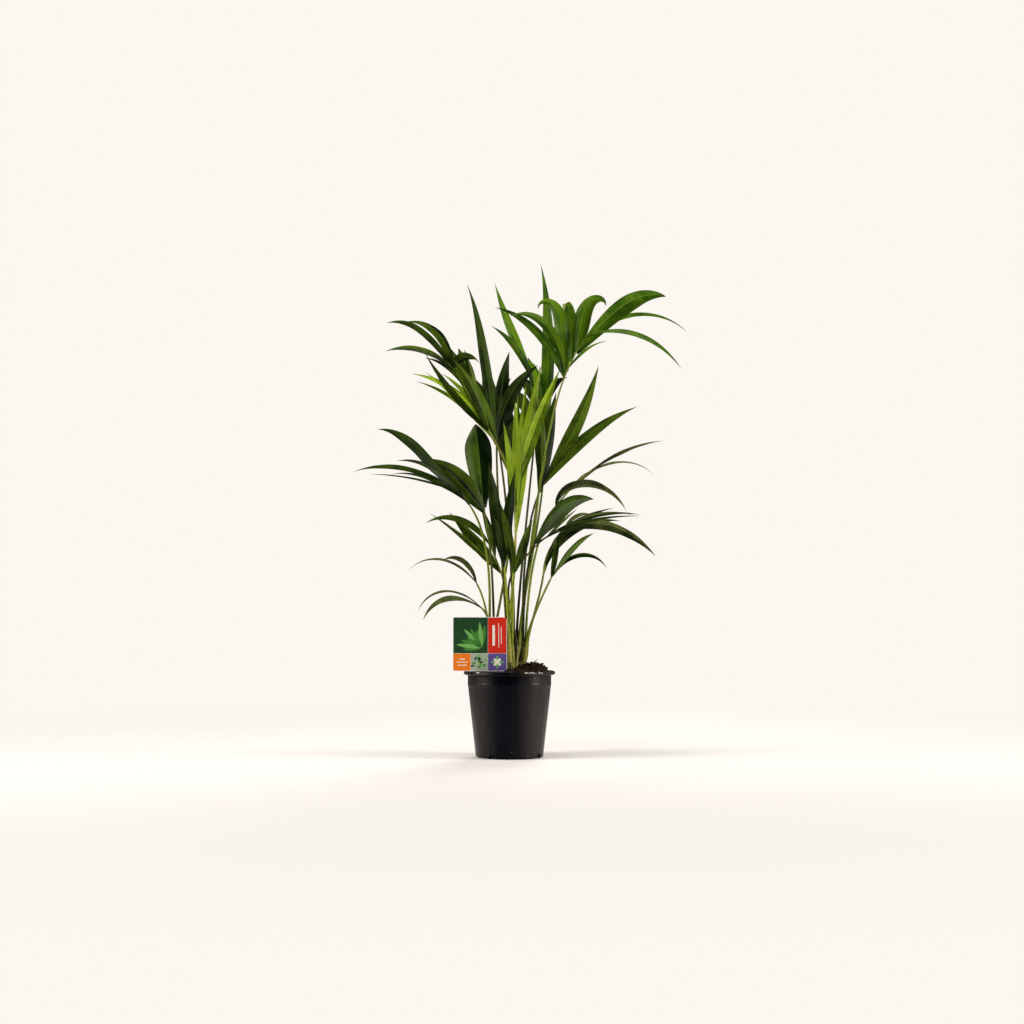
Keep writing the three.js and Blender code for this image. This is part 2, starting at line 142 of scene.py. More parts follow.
for name, (at, looks_at, size, watts) in LAMPS.items():
    lamp_data = bpy.data.lights.new(name, "AREA")
    lamp_data.shape = "RECTANGLE"
    lamp_data.size = size[0] * MM
    lamp_data.size_y = size[1] * MM
    lamp_data.energy = watts
    lamp_data.color = LAMP_COLOUR
    lamp_object = bpy.data.objects.new(name, lamp_data)
    lamp_object.visible_camera = False
    lamp_object.visible_glossy = name.startswith("box")
    bpy.context.collection.objects.link(lamp_object)
    turn_to(lamp_object, at, looks_at)

# ------------------------------------------------------------------------------------------- floor
# A round sheet of pale paper that the pot stands on. It fades into the backdrop away from the pot,
# so there is no horizon.

FLOOR = Sizes(
    radius=2600, clear=300, gone=2080, fade_power=2.2, top=-0.4, rings=24, around=96,
    colour=(0.615, 0.598, 0.585))
MERGE = 1e-6  # metres: points of one piece that are closer than this are one point
SHARP = 48.0  # degrees: an edge that turns more than this is a crease


def grid_quads(rows, cols):
    """The cells of a grid of points numbered row by row: a corner, the next in its row, and the two
    beyond them. A cell faces along (its row's direction) x (the direction from row to row)."""
    corner = (np.arange(rows - 1)[:, None] * cols + np.arange(cols - 1)).ravel()
    return np.stack([corner, corner + 1, corner + cols + 1, corner + cols], axis=1)


def grid_uv(rows, cols):
    """x runs from 0 to 1 within a row, and y from 0 to 1 from row to row."""
    x, y = np.meshgrid(np.linspace(0, 1, cols), np.linspace(0, 1, rows))
    return np.stack([x, y], axis=2).reshape(-1, 2)


def sheet(points):
    """A part of one grid, shape (rows, cols, 3)."""
    rows, cols, _ = points.shape
    return {"points": points.reshape(-1, 3), "quads": grid_quads(rows, cols), "uv": grid_uv(rows, cols)}


def add_piece(name, parts, materials, slot=None, nodes=()):
    """One mesh object from parts. Each part gives points, quads and uv, and may give finish, the number
    of its material, and tone and under, one value a point or for all. Doubled points are merged,
    which closes seams and poles."""
    starts = np.cumsum([0] + [len(part["points"]) for part in parts])
    points = np.concatenate([part["points"] for part in parts]) * MM
    quads = np.concatenate([part["quads"] + start for part, start in zip(parts, starts)])
    uv = np.concatenate([part["uv"] for part in parts])
    mesh = bpy.data.meshes.new(name)
    mesh.from_pydata(points.tolist(), [], quads.tolist())
    mesh.uv_layers.new(name="grid").data.foreach_set("uv", uv[quads.ravel()].astype(np.float32).ravel())
    finish = np.concatenate([np.full(len(part["quads"]), part.get("finish", 0)) for part in parts])
    mesh.polygons.foreach_set("material_index", finish.astype(np.int32))
    for key in ("tone", "under"):
        values = np.concatenate([part.get(key, 0.0) * np.ones(len(part["points"])) for part in parts])
        mesh.attributes.new(key, "FLOAT", "POINT").data.foreach_set("value", values.astype(np.float32))
    shape = bmesh.new()
    shape.from_mesh(mesh)
    bmesh.ops.remove_doubles(shape, verts=shape.verts, dist=MERGE)
    shape.to_mesh(mesh)
    shape.free()
    mesh.shade_smooth()
    mesh.set_sharp_from_angle(angle=np.radians(SHARP))
    for material in materials:
        mesh.materials.append(material)
    piece = bpy.data.objects.new(name, mesh)
    bpy.context.collection.objects.link(piece)
    if slot:
        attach(piece, "root")
    if nodes:
        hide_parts(*nodes)
    return piece


def new_material(name):
    """A node material, its Principled shader, and the place on the object."""
    material = bpy.data.materials.new(name)
    material.use_nodes = True
    place = add_node(material.node_tree, "ShaderNodeTexCoord")["Object"]
    return material, material.node_tree.nodes["Principled BSDF"], place


def points_of(x, y, z):
    """Points from their coordinates, spread to one shape."""
    return np.stack(np.broadcast_arrays(x, y, z), axis=-1)


def lathe(radius, height, around):
    """Profile points (radius, height) carried round the pot's axis: x = r cos a, y = r sin a."""
    turn = np.linspace(0, 2 * np.pi, around + 1)
    radius, height = np.reshape(radius, (-1, 1)), np.reshape(height, (-1, 1))
    return points_of(radius * np.cos(turn), radius * np.sin(turn), height)


def maths(operation, *values):
    """One operation on one or two values."""
    return lead_through("ShaderNodeMath", dict(enumerate(values)), operation=operation)[0]


floor_material, shader, place = new_material("floor_paper")
away = lead_through("ShaderNodeVectorMath", {0: place}, operation="LENGTH")["Value"]
fade = maths("POWER", scaled(away, FLOOR.clear * MM, FLOOR.gone * MM, 1.0, 0.0), FLOOR.fade_power)
feed(shader, {"Base Color": FLOOR.colour, "Alpha": fade, "Roughness": 0.9, "Specular IOR Level": 0.1})

floor_reach = np.linspace(FLOOR.radius, 0, FLOOR.rings)
floor = add_piece("floor", [sheet(lathe(floor_reach, FLOOR.top, FLOOR.around))], [floor_material])

# --------------------------------------------------------------------------------------------- pot
# A thin-walled nursery pot, injection moulded in black plastic: a flared body, a band with a fine ring
# under the lip, a rolled lip, and drain notches through the foot. Handling has left it scuffed and dusty,
# and its two sides are painted paler, a painted reflection of the soft boxes beside it.

POT = Sizes(
    height=170, wall=2, floor=3, around=480,
    base_radius=67.5, corner=4, foot_recess=0.8, body_radius=82.4,
    collar_radius=83.0, collar_height=30, collar_step=1.6,
    ring_height=146, ring_proud=0.35, ring_width=0.9,
    rim_radius=91, rim_height=7, lip_roll=2.6, lip_edge=3.4)
DRAIN = Sizes(count=4, width=15, height=8, depth=9, first_heading=-120)
NEAR = 0.1  # how far off a drain notch's own size a point of the profile may lie
POINTS = Sizes(floor=8, foot=6, wall=30, band=26, lip=14, top=5)  # along each stretch of the profile


def shell(outer, inner, keep=None, closed=False):
    """A closed body between two grids of one shape: the outer grid's cells, the inner grid's turned
    round, and a wall wherever a kept cell has no kept neighbour. Both sides begin a cell at the same
    corner, so a bent cell is split the same way on both. closed says that the last column is the
    first one again."""
    rows, cols, _ = outer.shape
    if keep is None:
        keep = np.ones((rows - 1, cols - 1), bool)
    below = rows * cols
    number = np.arange(below).reshape(rows, cols)
    a, b, c, d = number[:-1, :-1], number[:-1, 1:], number[1:, 1:], number[1:, :-1]
    sides = np.pad(keep, ((0, 0), (1, 1)), mode="wrap" if closed else "constant")
    ends = np.pad(keep, ((1, 1), (0, 0)))
    walls = [(a, d, sides[:, :-2]), (c, b, sides[:, 2:]), (b, a, ends[:-2]), (d, c, ends[2:])]
    quads = [np.stack([a[keep], b[keep], c[keep], d[keep]], axis=1)]
    quads.append(np.stack([a[keep], d[keep], c[keep], b[keep]], axis=1) + below)
    for first, second, neighbour in walls:
        near, far = first[keep & ~neighbour], second[keep & ~neighbour]
        quads.append(np.stack([near, far, far + below, near + below], axis=1))
    return {
        "points": np.concatenate([outer.reshape(-1, 3), inner.reshape(-1, 3)]),
        "quads": np.concatenate(quads),
        "uv": np.tile(grid_uv(rows, cols), (2, 1)),
        "under": np.repeat([0.0, 1.0], below),
    }


def pot_profile():
    """Radius and height along the outer side, then along the inner side, stretch by stretch: the
    floor, the rounded foot, the wall, the band, the lip and the lip's flat top. Both sides have as
    many points, and small steps keep the points of two stretches apart."""
    base, corner, wall, thick = POT.base_radius, POT.corner, POT.wall, POT.floor
    top, body_end, collar = POT.height, POT.body_radius, POT.collar_radius
    rim_foot, band_foot = top - POT.rim_height, top - POT.collar_height
    notch_edge = base - DRAIN.depth
    flat = np.append(np.linspace(0, notch_edge, POINTS.floor), base - corner)
    recess = POT.foot_recess * (flat < notch_edge - 1)
    bend = np.radians(np.linspace(15, 90, POINTS.foot))
    foot_inside = np.linspace(base - corner + 0.4, base - wall, POINTS.foot)
    rise = np.append(DRAIN.height, np.linspace(12, band_foot, POINTS.wall))
    body = base + (body_end - base) * (rise - corner) / (band_foot - corner)
    band_rise = np.linspace(band_foot + 0.6, rim_foot, POINTS.band)
    band = body_end + (collar - body_end) * np.clip((band_rise - band_foot) / POT.collar_step, 0, 1)
    band += POT.ring_proud * np.exp(-((band_rise - POT.ring_height) / POT.ring_width) ** 2)
    lip = np.radians(np.linspace(-80, 80, POINTS.lip))
    lip_radius = POT.rim_radius - POT.lip_roll + POT.lip_roll * np.cos(lip)
    lip_rise = rim_foot + POT.rim_height / 2 + POT.rim_height / 2 * np.sin(lip)
    lip_top = np.linspace(POT.rim_radius - POT.lip_edge, collar - wall + 0.3, POINTS.top)
    stretches = [
        (flat, recess, flat, thick),
        (base - corner + corner * np.sin(bend), corner - corner * np.cos(bend), foot_inside,
         np.linspace(thick, corner + 1, POINTS.foot)),
        (body, rise, body - wall, rise),
        (band, band_rise, np.linspace(body_end - wall, collar - wall, POINTS.band), band_rise),
        (lip_radius, lip_rise, collar - wall, np.linspace(rim_foot + 0.4, top - 1, POINTS.lip)),
        (lip_top, top, collar - wall, np.linspace(top - 0.8, top - 0.3, POINTS.top)),
    ]
    return [np.concatenate(side) for side in zip(*[np.broadcast_arrays(*each) for each in stretches])]


def times(first, second):
    """first x second."""
    return maths("MULTIPLY", first, second)


def plus(first, *others):
    """All the values added up, from left to right."""
    for other in others:
        first = maths("ADD", first, other)
    return first


def noise_value(place, scale, detail=3.0, roughness=0.6):
    """Cloudy noise of so many waves a metre, from 0 to 1."""
    sockets = {"Vector": place, "Scale": scale, "Detail": detail, "Roughness": roughness}
    return lead_through("ShaderNodeTexNoise", sockets)[0]


def stretched(place, scale):
    """A place whose x, y and z are multiplied by scale: a pattern is drawn out along a small one."""
    return lead_through("ShaderNodeMapping", {"Vector": place, "Scale": scale})[0]


def bump(height, distance, strength=1.0, **normal):
    """A normal from a height, whose full range is so many millimetres. Normal is one to add it to."""
    sockets = {"Height": height, "Distance": distance * MM, "Strength": strength, **normal}
    return lead_through("ShaderNodeBump", sockets)[0]


def new_group(name, inputs, outputs):
    """A shader node group: the group, the sockets that its inputs arrive at, and the node that its
    outputs are fed to. Place is a vector and the others are numbers."""
    group = bpy.data.node_groups.new(name, "ShaderNodeTree")
    for title in inputs:
        kind = "NodeSocketVector" if title == "Place" else "NodeSocketFloat"
        group.interface.new_socket(title, in_out="INPUT", socket_type=kind)
    for title in outputs:
        group.interface.new_socket(title, in_out="OUTPUT", socket_type="NodeSocketFloat")
    return group, group.nodes.new("NodeGroupInput").outputs, group.nodes.new("NodeGroupOutput")


def use_group(group, inputs):
    """Places a node group where its inputs come from and returns its outputs."""
    return lead_through("ShaderNodeGroup", inputs, node_tree=group)


# Dust and scuffs: cloudy smears, drawn out by how much the place is stretched, and fine specks.
dust_group, given, result = new_group(
    "dust", ["Place", "Smear Scale", "Speck Scale", "Specks"], ["Smears", "Specks"])
smears = noise_value(given["Place"], given["Smear Scale"], 5.0)
specks = noise_value(given["Place"], given["Speck Scale"], 1.0, 0.4)
specks = maths("GREATER_THAN", specks, given["Specks"])
feed(result, {"Smears": scaled(smears, 0.48, 0.78), "Specks": specks})

# Soil clings under the lip and round the foot. The pot's left and right sides are painted paler, a
# painted reflection of the soft boxes beside it, broken up by the dust smears.
pot_material, shader, place = new_material("pot_plastic")
dust = use_group(dust_group, {
    "Place": stretched(place, (1.0, 1.0, 0.22)),
    "Smear Scale": 34.0, "Speck Scale": 520.0, "Specks": 0.75})
across, _, height = axes_of(place)
soiled = plus(scaled(height, 0.150, 0.172), scaled(height, 0.030, 0.0))
# Painted reflection: the plastic is paler towards its left and right sides, where the side lights would
# shine on it.
left_side_sheen = scaled(across, -0.022, -0.058, 0.0, 0.62)
side_sheen = plus(left_side_sheen, scaled(across, 0.014, 0.050))
painted_side_sheen = times(side_sheen, scaled(dust["Smears"], 0.0, 0.6, 0.8, 1.05))
dusted = times(dust["Smears"], scaled(soiled, 0.0, 1.0, 0.12, 0.4))
specked = times(dust["Specks"], scaled(soiled, 0.0, 1.0, 0.06, 0.5))
colour = mix_colour(painted_side_sheen, (0.0012, 0.0012, 0.0040), (0.030, 0.027, 0.024))
colour = mix_colour(dusted, colour, (0.026, 0.022, 0.019))
colour = mix_colour(specked, colour, (0.30, 0.27, 0.22))
peel = noise_value(place, 1500.0, 1.0, 0.55)
feed(shader, {
    "Base Color": colour, "Roughness": scaled(dust["Smears"], 0.0, 1.0, 0.24, 0.42),
    "Normal": bump(peel, 0.04, 0.5), "Specular IOR Level": 0.08})

outer_radius, outer_rise, inner_radius, inner_rise = pot_profile()
cell_step = 360 / POT.around
cell_turn = cell_step * (np.arange(POT.around) + 0.5)
notch_step = 360 / DRAIN.count
notch_half = np.degrees(DRAIN.width / 2 / POT.base_radius)
from_notch = np.abs((cell_turn - DRAIN.first_heading + notch_step / 2) % notch_step - notch_step / 2)
in_notch = outer_radius[:-1] >= POT.base_radius - DRAIN.depth - NEAR
in_notch &= outer_rise[1:] <= DRAIN.height + NEAR
pot_keep = ~(in_notch[:, None] & (from_notch < notch_half))
pot_outside = lathe(outer_radius, outer_rise, POT.around)
pot_inside = lathe(inner_radius, inner_rise, POT.around)
pot = shell(pot_outside, pot_inside, pot_keep, closed=True)
add_piece("nursery_pot", [pot], [pot_material], "pot", ["pot"])

# -------------------------------------------------------------------------------------------- soil
# Moist potting mix of dark peat and bark, heaped up on the right where the palm was topped up. Loose
# bark chips and a few white grains lie on it, and a splinter of wood sticks out of the heap.

SOIL = Sizes(
    level=166, crown=8, heap=16, heap_at=(55, -4), heap_spread=34, lump=1.6,
    lump_length=(30, 37), clearance=0.35, rings=70, around=220)
TOP_CRUMBS = ((1.6, 9), (1.1, 4.3), (0.7, 2))  # how high and how long the crumbs of each size are
CRUMB = Sizes(rows=5, around=7, dents=(0.65, 1.25), narrower=(0.4, 0.8), turns=(0.6, 0.6, np.pi))
CHIPS = Sizes(
    count=1500, least=1.6, most=5.6, reach=76, edge=79, off_stem=14, above=0.25, flatness=0.38, seed=4)
GRAINS = Sizes(count=46, least=0.5, most=1.5, reach=72, lift=0.8, flatness=0.6)
# Grains dried on the front of the pot's lip are larger: they are partly grains and partly painted
# highlights, glints on the lip. Each run: from x, to x, how many.
LIP_GRAINS_AND_GLINTS = Sizes(
    runs=((-64, -59, 5), (31, 49, 16), (57, 64, 6)), size=1.5, set_in=1.2, least_down=0.6, more_down=2.4)
SPLINTER = Sizes(foot=(44, -14, 184), tip=(57, -22, 195), radius=1.3, rows=10, around=10)
SEEDLINGS = {
    "right": Sizes(foot=(20, 4), top=(30, 3), first=240),
    "back": Sizes(foot=(10, 34), top=(14, 38), first=270),
    "left": Sizes(foot=(-29, 12), top=(-36, 12), first=40),
    "middle": Sizes(foot=(2, -18), top=(0, -20), first=91),
}


def soil_radius(z):
    """Radius of the soil against the pot's sloping wall at this height."""
    rise = (z - POT.floor) / (POT.height - POT.floor)
    widening = (POT.body_radius - POT.base_radius) * rise
    return POT.base_radius + widening - POT.wall - 2 * SOIL.clearance


def lattice_noise(x, y, step, seed):
    """Smooth random heights from -1 to 1: the four nearest points of a seeded square lattice, blended
    by s = f^2 (3 - 2 f) both ways."""
    table = np.random.default_rng(seed).uniform(-1, 1, (64, 64))
    i, j = np.floor(x / step).astype(int), np.floor(y / step).astype(int)
    fx, fy = x / step - i, y / step - j
    fx, fy = fx * fx * (3 - 2 * fx), fy * fy * (3 - 2 * fy)
    corner = [table[(i + p) % 64, (j + q) % 64] for p, q in ((0, 0), (1, 0), (0, 1), (1, 1))]
    near = corner[0] * (1 - fx) + corner[1] * fx
    far = corner[2] * (1 - fx) + corner[3] * fx
    return near * (1 - fy) + far * fy


def soil_top(x, y):
    """Height of the soil: a dome, a heap to one side and lumps that die out at the pot's wall, with
    crumbs of three sizes on them."""
    out = np.minimum(np.hypot(x, y) / soil_radius(SOIL.level), 1)
    apart = (x - SOIL.heap_at[0]) ** 2 + (y - SOIL.heap_at[1]) ** 2
    heap = SOIL.heap * np.exp(-apart / SOIL.heap_spread ** 2)
    lumps = SOIL.lump * np.sin(2 * np.pi * x / SOIL.lump_length[0] + 1)
    lumps = lumps * np.cos(2 * np.pi * y / SOIL.lump_length[1])
    crumbs = sum(
        high * lattice_noise(x, y, step, seed) for seed, (high, step) in enumerate(TOP_CRUMBS, 1))
    dome = (1 - out ** 4) * (SOIL.crown * (1 - out ** 2) + lumps)
    return SOIL.level + dome + heap * (1 - out ** 14) + crumbs * (1 - out ** 8)


# Painted shade: low down, where the mix shows only in the drain notches, its colour is painted near
# black.
soil_material, shader, place = new_material("potting_mix")
crumb = noise_value(place, 420.0, 4.0, 0.7)
colour = mix_colour(scaled(crumb, 0.35, 0.7), (0.005, 0.004, 0.0035), (0.024, 0.014, 0.0095))
shade = scaled(axes_of(place)["Z"], 0.020, 0.012)
feed(shader, {
    "Base Color": mix_colour(shade, colour, (0.001, 0.001, 0.001)), "Roughness": 0.85,
    "Normal": bump(crumb, 1.2), "Specular IOR Level": 0.1})

soil_foot = POT.floor + SOIL.clearance
soil_reach = soil_radius(SOIL.level) * np.linspace(1, 0, SOIL.rings)
soil_profile = np.concatenate([[0, soil_radius(soil_foot)], soil_reach])
soil_grid = lathe(soil_profile, soil_foot, SOIL.around)
soil_grid[2:, :, 2] = soil_top(soil_grid[2:, :, 0], soil_grid[2:, :, 1])
soil_grid[-1, :, 2] = soil_grid[-1, 0, 2]
add_piece("potting_mix", [sheet(soil_grid)], [soil_material], "soil", ["soil"])


def painted(material, name):
    """The value that a piece's points carry under this name."""
    return add_node(material.node_tree, "ShaderNodeAttribute", attribute_name=name)["Fac"]


chip_material, shader, place = new_material("bark_chip")
grain = noise_value(place, 700.0, 3.0, 0.65)
colour = mix_colour(painted(chip_material, "tone"), (0.005, 0.003, 0.002), (0.060, 0.026, 0.012))
feed(shader, {
    "Base Color": mix_colour(times(grain, 0.5), colour, (0.018, 0.011, 0.008)),
    "Roughness": scaled(grain, 0.3, 0.7, 0.5, 0.85), "Normal": bump(grain, 0.5),
    "Specular IOR Level": 0.2})


def grained(name, scale, spread, dark, light, roughness, depth):
    """A plain dry material: two colours mixed by a fine grain, which also dents it."""
    material, shader, place = new_material(name)
    grain = noise_value(place, scale)
    feed(shader, {
        "Base Color": mix_colour(scaled(grain, *spread), dark, light),
        "Roughness": roughness, "Normal": bump(grain, depth)})
    return material


grain_material = grained(
    "white_grain", 1400.0, (0.3, 0.7), (0.42, 0.38, 0.31), (0.72, 0.70, 0.64), 0.8, 0.3)
splinter_material = grained(
    "splinter_wood", 600.0, (0, 1), (0.32, 0.20, 0.09), (0.62, 0.46, 0.25), 0.75, 0.4)


def crumbs_at(places, sizes, flatness, draw):
    """One rough crumb at each place: a small ball, squashed, dented by the same random amounts round
    its seam, and turned by a random turn about each axis."""
    latitude = np.linspace(-np.pi / 2, np.pi / 2, CRUMB.rows)
    ball = lathe(np.cos(latitude), np.sin(latitude), CRUMB.around)
    rows, cols, _ = ball.shape
    count = len(places)
    dents = draw.uniform(*CRUMB.dents, (count, rows, cols, 1))
    dents[:, :, -1] = dents[:, :, 0]
    dents[:, 0] = dents[:, 0, :1]
    dents[:, -1] = dents[:, -1, :1]
    spans = points_of(sizes, sizes * draw.uniform(*CRUMB.narrower, count), sizes * flatness)
    shape = ball * dents * spans[:, None, None]
    for axis, most in enumerate(CRUMB.turns):
        angle = draw.uniform(-1, 1, (count, 1, 1)) * most
        first, second = (axis + 1) % 3, (axis + 2) % 3
        turned = shape.copy()
        turned[..., first] = np.cos(angle) * shape[..., first] - np.sin(angle) * shape[..., second]
        turned[..., second] = np.sin(angle) * shape[..., first] + np.cos(angle) * shape[..., second]
        shape = turned
    quads = grid_quads(rows, cols) + (np.arange(count) * rows * cols)[:, None, None]
    return {
        "points": (shape + places[:, None, None]).reshape(-1, 3), "quads": quads.reshape(-1, 4),
        "uv": np.tile(grid_uv(rows, cols), (count, 1)),
    }


def strewn(count, reach, draw):
    """x and y of places strewn evenly over a round patch: r = reach sqrt(random), at a random turn."""
    turn = draw.uniform(0, 2 * np.pi, count)
    out = reach * np.sqrt(draw.uniform(0, 1, count))
    return out * np.cos(turn), out * np.sin(turn)


draw = np.random.default_rng(CHIPS.seed)
chip_x, chip_y = strewn(CHIPS.count, CHIPS.reach, draw)
chip_size = CHIPS.least + (CHIPS.most - CHIPS.least) * draw.uniform(0, 1, CHIPS.count) ** 2.2
feet = [seedling.foot for seedling in SEEDLINGS.values()]
off_stem = np.min([np.hypot(chip_x - foot_x, chip_y - foot_y) for foot_x, foot_y in feet], axis=0)
chip_kept = (off_stem > CHIPS.off_stem) & (np.hypot(chip_x, chip_y) + chip_size < CHIPS.edge)
chip_x, chip_y, chip_size = chip_x[chip_kept], chip_y[chip_kept], chip_size[chip_kept]
chip_z = soil_top(chip_x, chip_y) + CHIPS.above * chip_size
chips = crumbs_at(points_of(chip_x, chip_y, chip_z), chip_size, CHIPS.flatness, draw)
chips["tone"] = np.repeat(draw.beta(1.3, 3.2, len(chip_x)), len(chips["points"]) // len(chip_x))
add_piece("bark_chips", [chips], [chip_material], "soil")

grain_x, grain_y = strewn(GRAINS.count, GRAINS.reach, draw)
grain_z = soil_top(grain_x, grain_y) + GRAINS.lift
lip_x = np.concatenate([np.linspace(*run) for run in LIP_GRAINS_AND_GLINTS.runs])
lip_y = -np.sqrt((POT.rim_radius - LIP_GRAINS_AND_GLINTS.set_in) ** 2 - lip_x ** 2)
lip_z = POT.height - LIP_GRAINS_AND_GLINTS.least_down - LIP_GRAINS_AND_GLINTS.more_down * draw.uniform(0, 1, len(lip_x)) ** 2
grain_places = np.append(points_of(grain_x, grain_y, grain_z), points_of(lip_x, lip_y, lip_z), axis=0)
grain_size = draw.uniform(GRAINS.least, GRAINS.most, len(grain_places))
grain_size[GRAINS.count:] *= LIP_GRAINS_AND_GLINTS.size
grains = crumbs_at(grain_places, grain_size, GRAINS.flatness, draw)
add_piece("white_grains", [grains], [grain_material], "soil")


def capped(line, grid):
    """A part from the rings round a line, each end of it closed at the line's own end."""
    ends = [np.broadcast_to(line[end], (1, grid.shape[1], 3)) for end in (0, -1)]
    return sheet(np.concatenate([ends[0], grid, ends[1]]))


def ring_tube(line, tangent, upper, radius, section=None, around=18):
    """A closed round limb. Ring by ring round the line, point = line + r(u) g(a) (side cos a + upper
    sin a), with side = tangent x upper. section gives g, how far out the ring reaches at each angle."""
    turn = np.linspace(0, -2 * np.pi, around + 1)
    reach = np.ones_like(turn) if section is None else section(turn)
    side = np.cross(tangent, upper)
    ring = side[:, None] * np.cos(turn)[:, None] + upper[:, None] * np.sin(turn)[:, None]
    made = capped(line, line[:, None] + ring * (radius[:, None] * reach)[..., None])
    made["uv"][:, 1] = np.repeat(np.concatenate([[0], np.linspace(0, 1, len(line)), [1]]), around + 1)
    return made


def unit(vector):
    """The vector, or each row of it, at length 1."""
    return vector / np.linalg.norm(vector, axis=-1, keepdims=True)


share = np.linspace(0, 1, SPLINTER.rows)
foot, tip = np.array([SPLINTER.foot, SPLINTER.tip], float)
run = np.tile(unit(tip - foot), (SPLINTER.rows, 1))
above = unit(np.cross(np.cross(run, [0, 0, 1.0]), run))
line = foot + share[:, None] * (tip - foot)
radius = SPLINTER.radius * (1 - share ** 3)
splinter = ring_tube(line, run, above, radius, around=SPLINTER.around)
add_piece("wood_splinter", [splinter], [splinter_material], "soil")

# ------------------------------------------------------------------------------------------- label
# A picture label of white plastic card on its own stake, pushed into the soil in front of the palm.
# It is printed with plain panels: a spray of leaves on green, a red panel and an orange one with
# bare bars, and two small squares with simple shapes.

LABEL = Sizes(width=106, height=106, thick=1.2, corner=6, left=-111, bottom=172, front=-56)
STAKE = Sizes(width=12, depth=48, middle=-42, overlap=20, corner=1.0, point=14, tip=0.2, set_in=0.02)
PRINT = Sizes(
    proud=0.06, clear=0.01, margin=0.7, gap=0.5, corner=1.2, bar_corner=0.5, corner_points=3,
    row=34.0, column=68.0)
SPRAY = Sizes(foot=(22, -24), turns=(82, 186), leaves=9, length=44, longer=8, swing=2.1, width=8.5)
ROUND_LEAVES = Sizes(count=14, reach=12, step=2.4, length=8, width=4.4, turn=47)
FLOWER = Sizes(petals=8, length=13, shorter=3, width=5.0)
# Bare bars where a label has its lines of print: x and z off the panel's middle, width and height.
BARS = {
    "red": ((-7, 0, 5.0, 40), (3, 0, 1.2, 48), (8, 0, 1.2, 34)),
    "orange": ((0, 6, 12, 1.6), (0, 0, 22, 1.6), (0, -6, 18, 1.6)),
}
INKS = {
    "card": (0.80, 0.80, 0.77), "deep_green": (0.012, 0.055, 0.016), "leaf_green": (0.055, 0.22, 0.03),
    "light_green": (0.17, 0.42, 0.10), "red": (0.62, 0.022, 0.008), "pale": (0.85, 0.80, 0.74),
    "orange": (0.82, 0.19, 0.008), "grey_green": (0.34, 0.40, 0.30), "violet": (0.10, 0.075, 0.26),
}
label_face = LABEL.front - LABEL.thick / 2


def rounded_outline(width, height, radius, corner_steps=6):
    """Points round a rectangle with rounded corners, against the clock from the lower right, in x, z."""
    quarter = np.linspace(0, np.pi / 2, corner_steps)
    angle = (np.arange(-1, 3)[:, None] * np.pi / 2 + quarter).ravel()
    middle_x = np.repeat([1, 1, -1, -1], corner_steps) * (width / 2 - radius)
    middle_z = np.repeat([-1, 1, 1, -1], corner_steps) * (height / 2 - radius)
    return np.column_stack([middle_x + radius * np.cos(angle), middle_z + radius * np.sin(angle)])


def leaf_outline(length, width, turn, steps=9):
    """A pointed oval from the origin, lying at turn degrees: half width = w/2 sin(pi u)^0.8."""
    u = np.linspace(0, 1, steps)
    half = width / 2 * np.sin(np.pi * u) ** 0.8
    x, z = np.append(u, u[::-1]) * length, np.append(-half, half[::-1])
    cos, sin = np.cos(np.radians(turn)), np.sin(np.radians(turn))
    return np.column_stack([x * cos - z * sin, x * sin + z * cos])


def plate(ink, outline, centre, front, thick, rings=4):
    """A flat plate that faces the front: the outline drawn in towards its centre, ring by ring, on a
    front face and on a back face, joined at the rim."""
    closed = np.append(outline, outline[:1], axis=0)
    flat = np.array(centre) + np.linspace(1, 0, rings)[:, None, None] * closed
    faces = [np.insert(flat, 1, y, axis=2) for y in (front, front + thick)]
    return {**shell(*faces, closed=True), "finish": list(INKS).index(ink)}


ink_materials = []
for ink, colour in INKS.items():
    material, shader, place = new_material("label_" + ink)
    mottle = noise_value(place, 160.0)
    feed(shader, {
        "Base Color": mix_colour(mottle, [0.82 * part for part in colour], colour),
        "Roughness": scaled(mottle, 0.3, 0.7, 0.26, 0.38), "Coat Weight": 0.25})
    ink_materials.append(material)

label_middle = (LABEL.left + LABEL.width / 2, LABEL.bottom + LABEL.height / 2)
card_outline = rounded_outline(LABEL.width, LABEL.height, LABEL.corner)
card = plate("card", card_outline, label_middle, label_face, LABEL.thick)
stake_length = STAKE.depth + STAKE.overlap
stake_middle = (STAKE.middle, LABEL.bottom + STAKE.overlap - stake_length / 2)
stake_outline = rounded_outline(STAKE.width, stake_length, STAKE.corner)
stake_outline[:, 0] *= np.clip((stake_outline[:, 1] + stake_length / 2) / STAKE.point, STAKE.tip, 1)
stake_thick = LABEL.thick - 2 * STAKE.set_in
stake = plate("deep_green", stake_outline, stake_middle, label_face + STAKE.set_in, stake_thick)
add_piece("label_card", [card, stake], ink_materials, "label", ["label"])

prints = []


def add_print(ink, outline, centre, layer):
    """A printed patch on the face of the label, one of several thin layers of ink."""
    thick = PRINT.proud * layer
    prints.append(plate(ink, outline, centre, label_face - thick, thick - PRINT.clear))


# Panels by their left, right, bottom and top edges within the card's margins.
inside, row, column = LABEL.width - 2 * PRINT.margin, PRINT.row, PRINT.column
panels = {
    "deep_green": (0, column, row, inside),
    "red": (column, inside, row, inside),
    "orange": (0, column / 2, 0, row),
    "grey_green": (column / 2, column, 0, row),
    "violet": (column, inside, 0, row),
}
panel_middle = {}
for ink, (left, right, low, high) in panels.items():
    centre = np.array([LABEL.left + (left + right) / 2, LABEL.bottom + (low + high) / 2])
    panel_middle[ink] = centre + PRINT.margin
    width, height = right - left - PRINT.gap, high - low - PRINT.gap
    panel = rounded_outline(width, height, PRINT.corner, PRINT.corner_points)
    add_print(ink, panel, panel_middle[ink], 1)

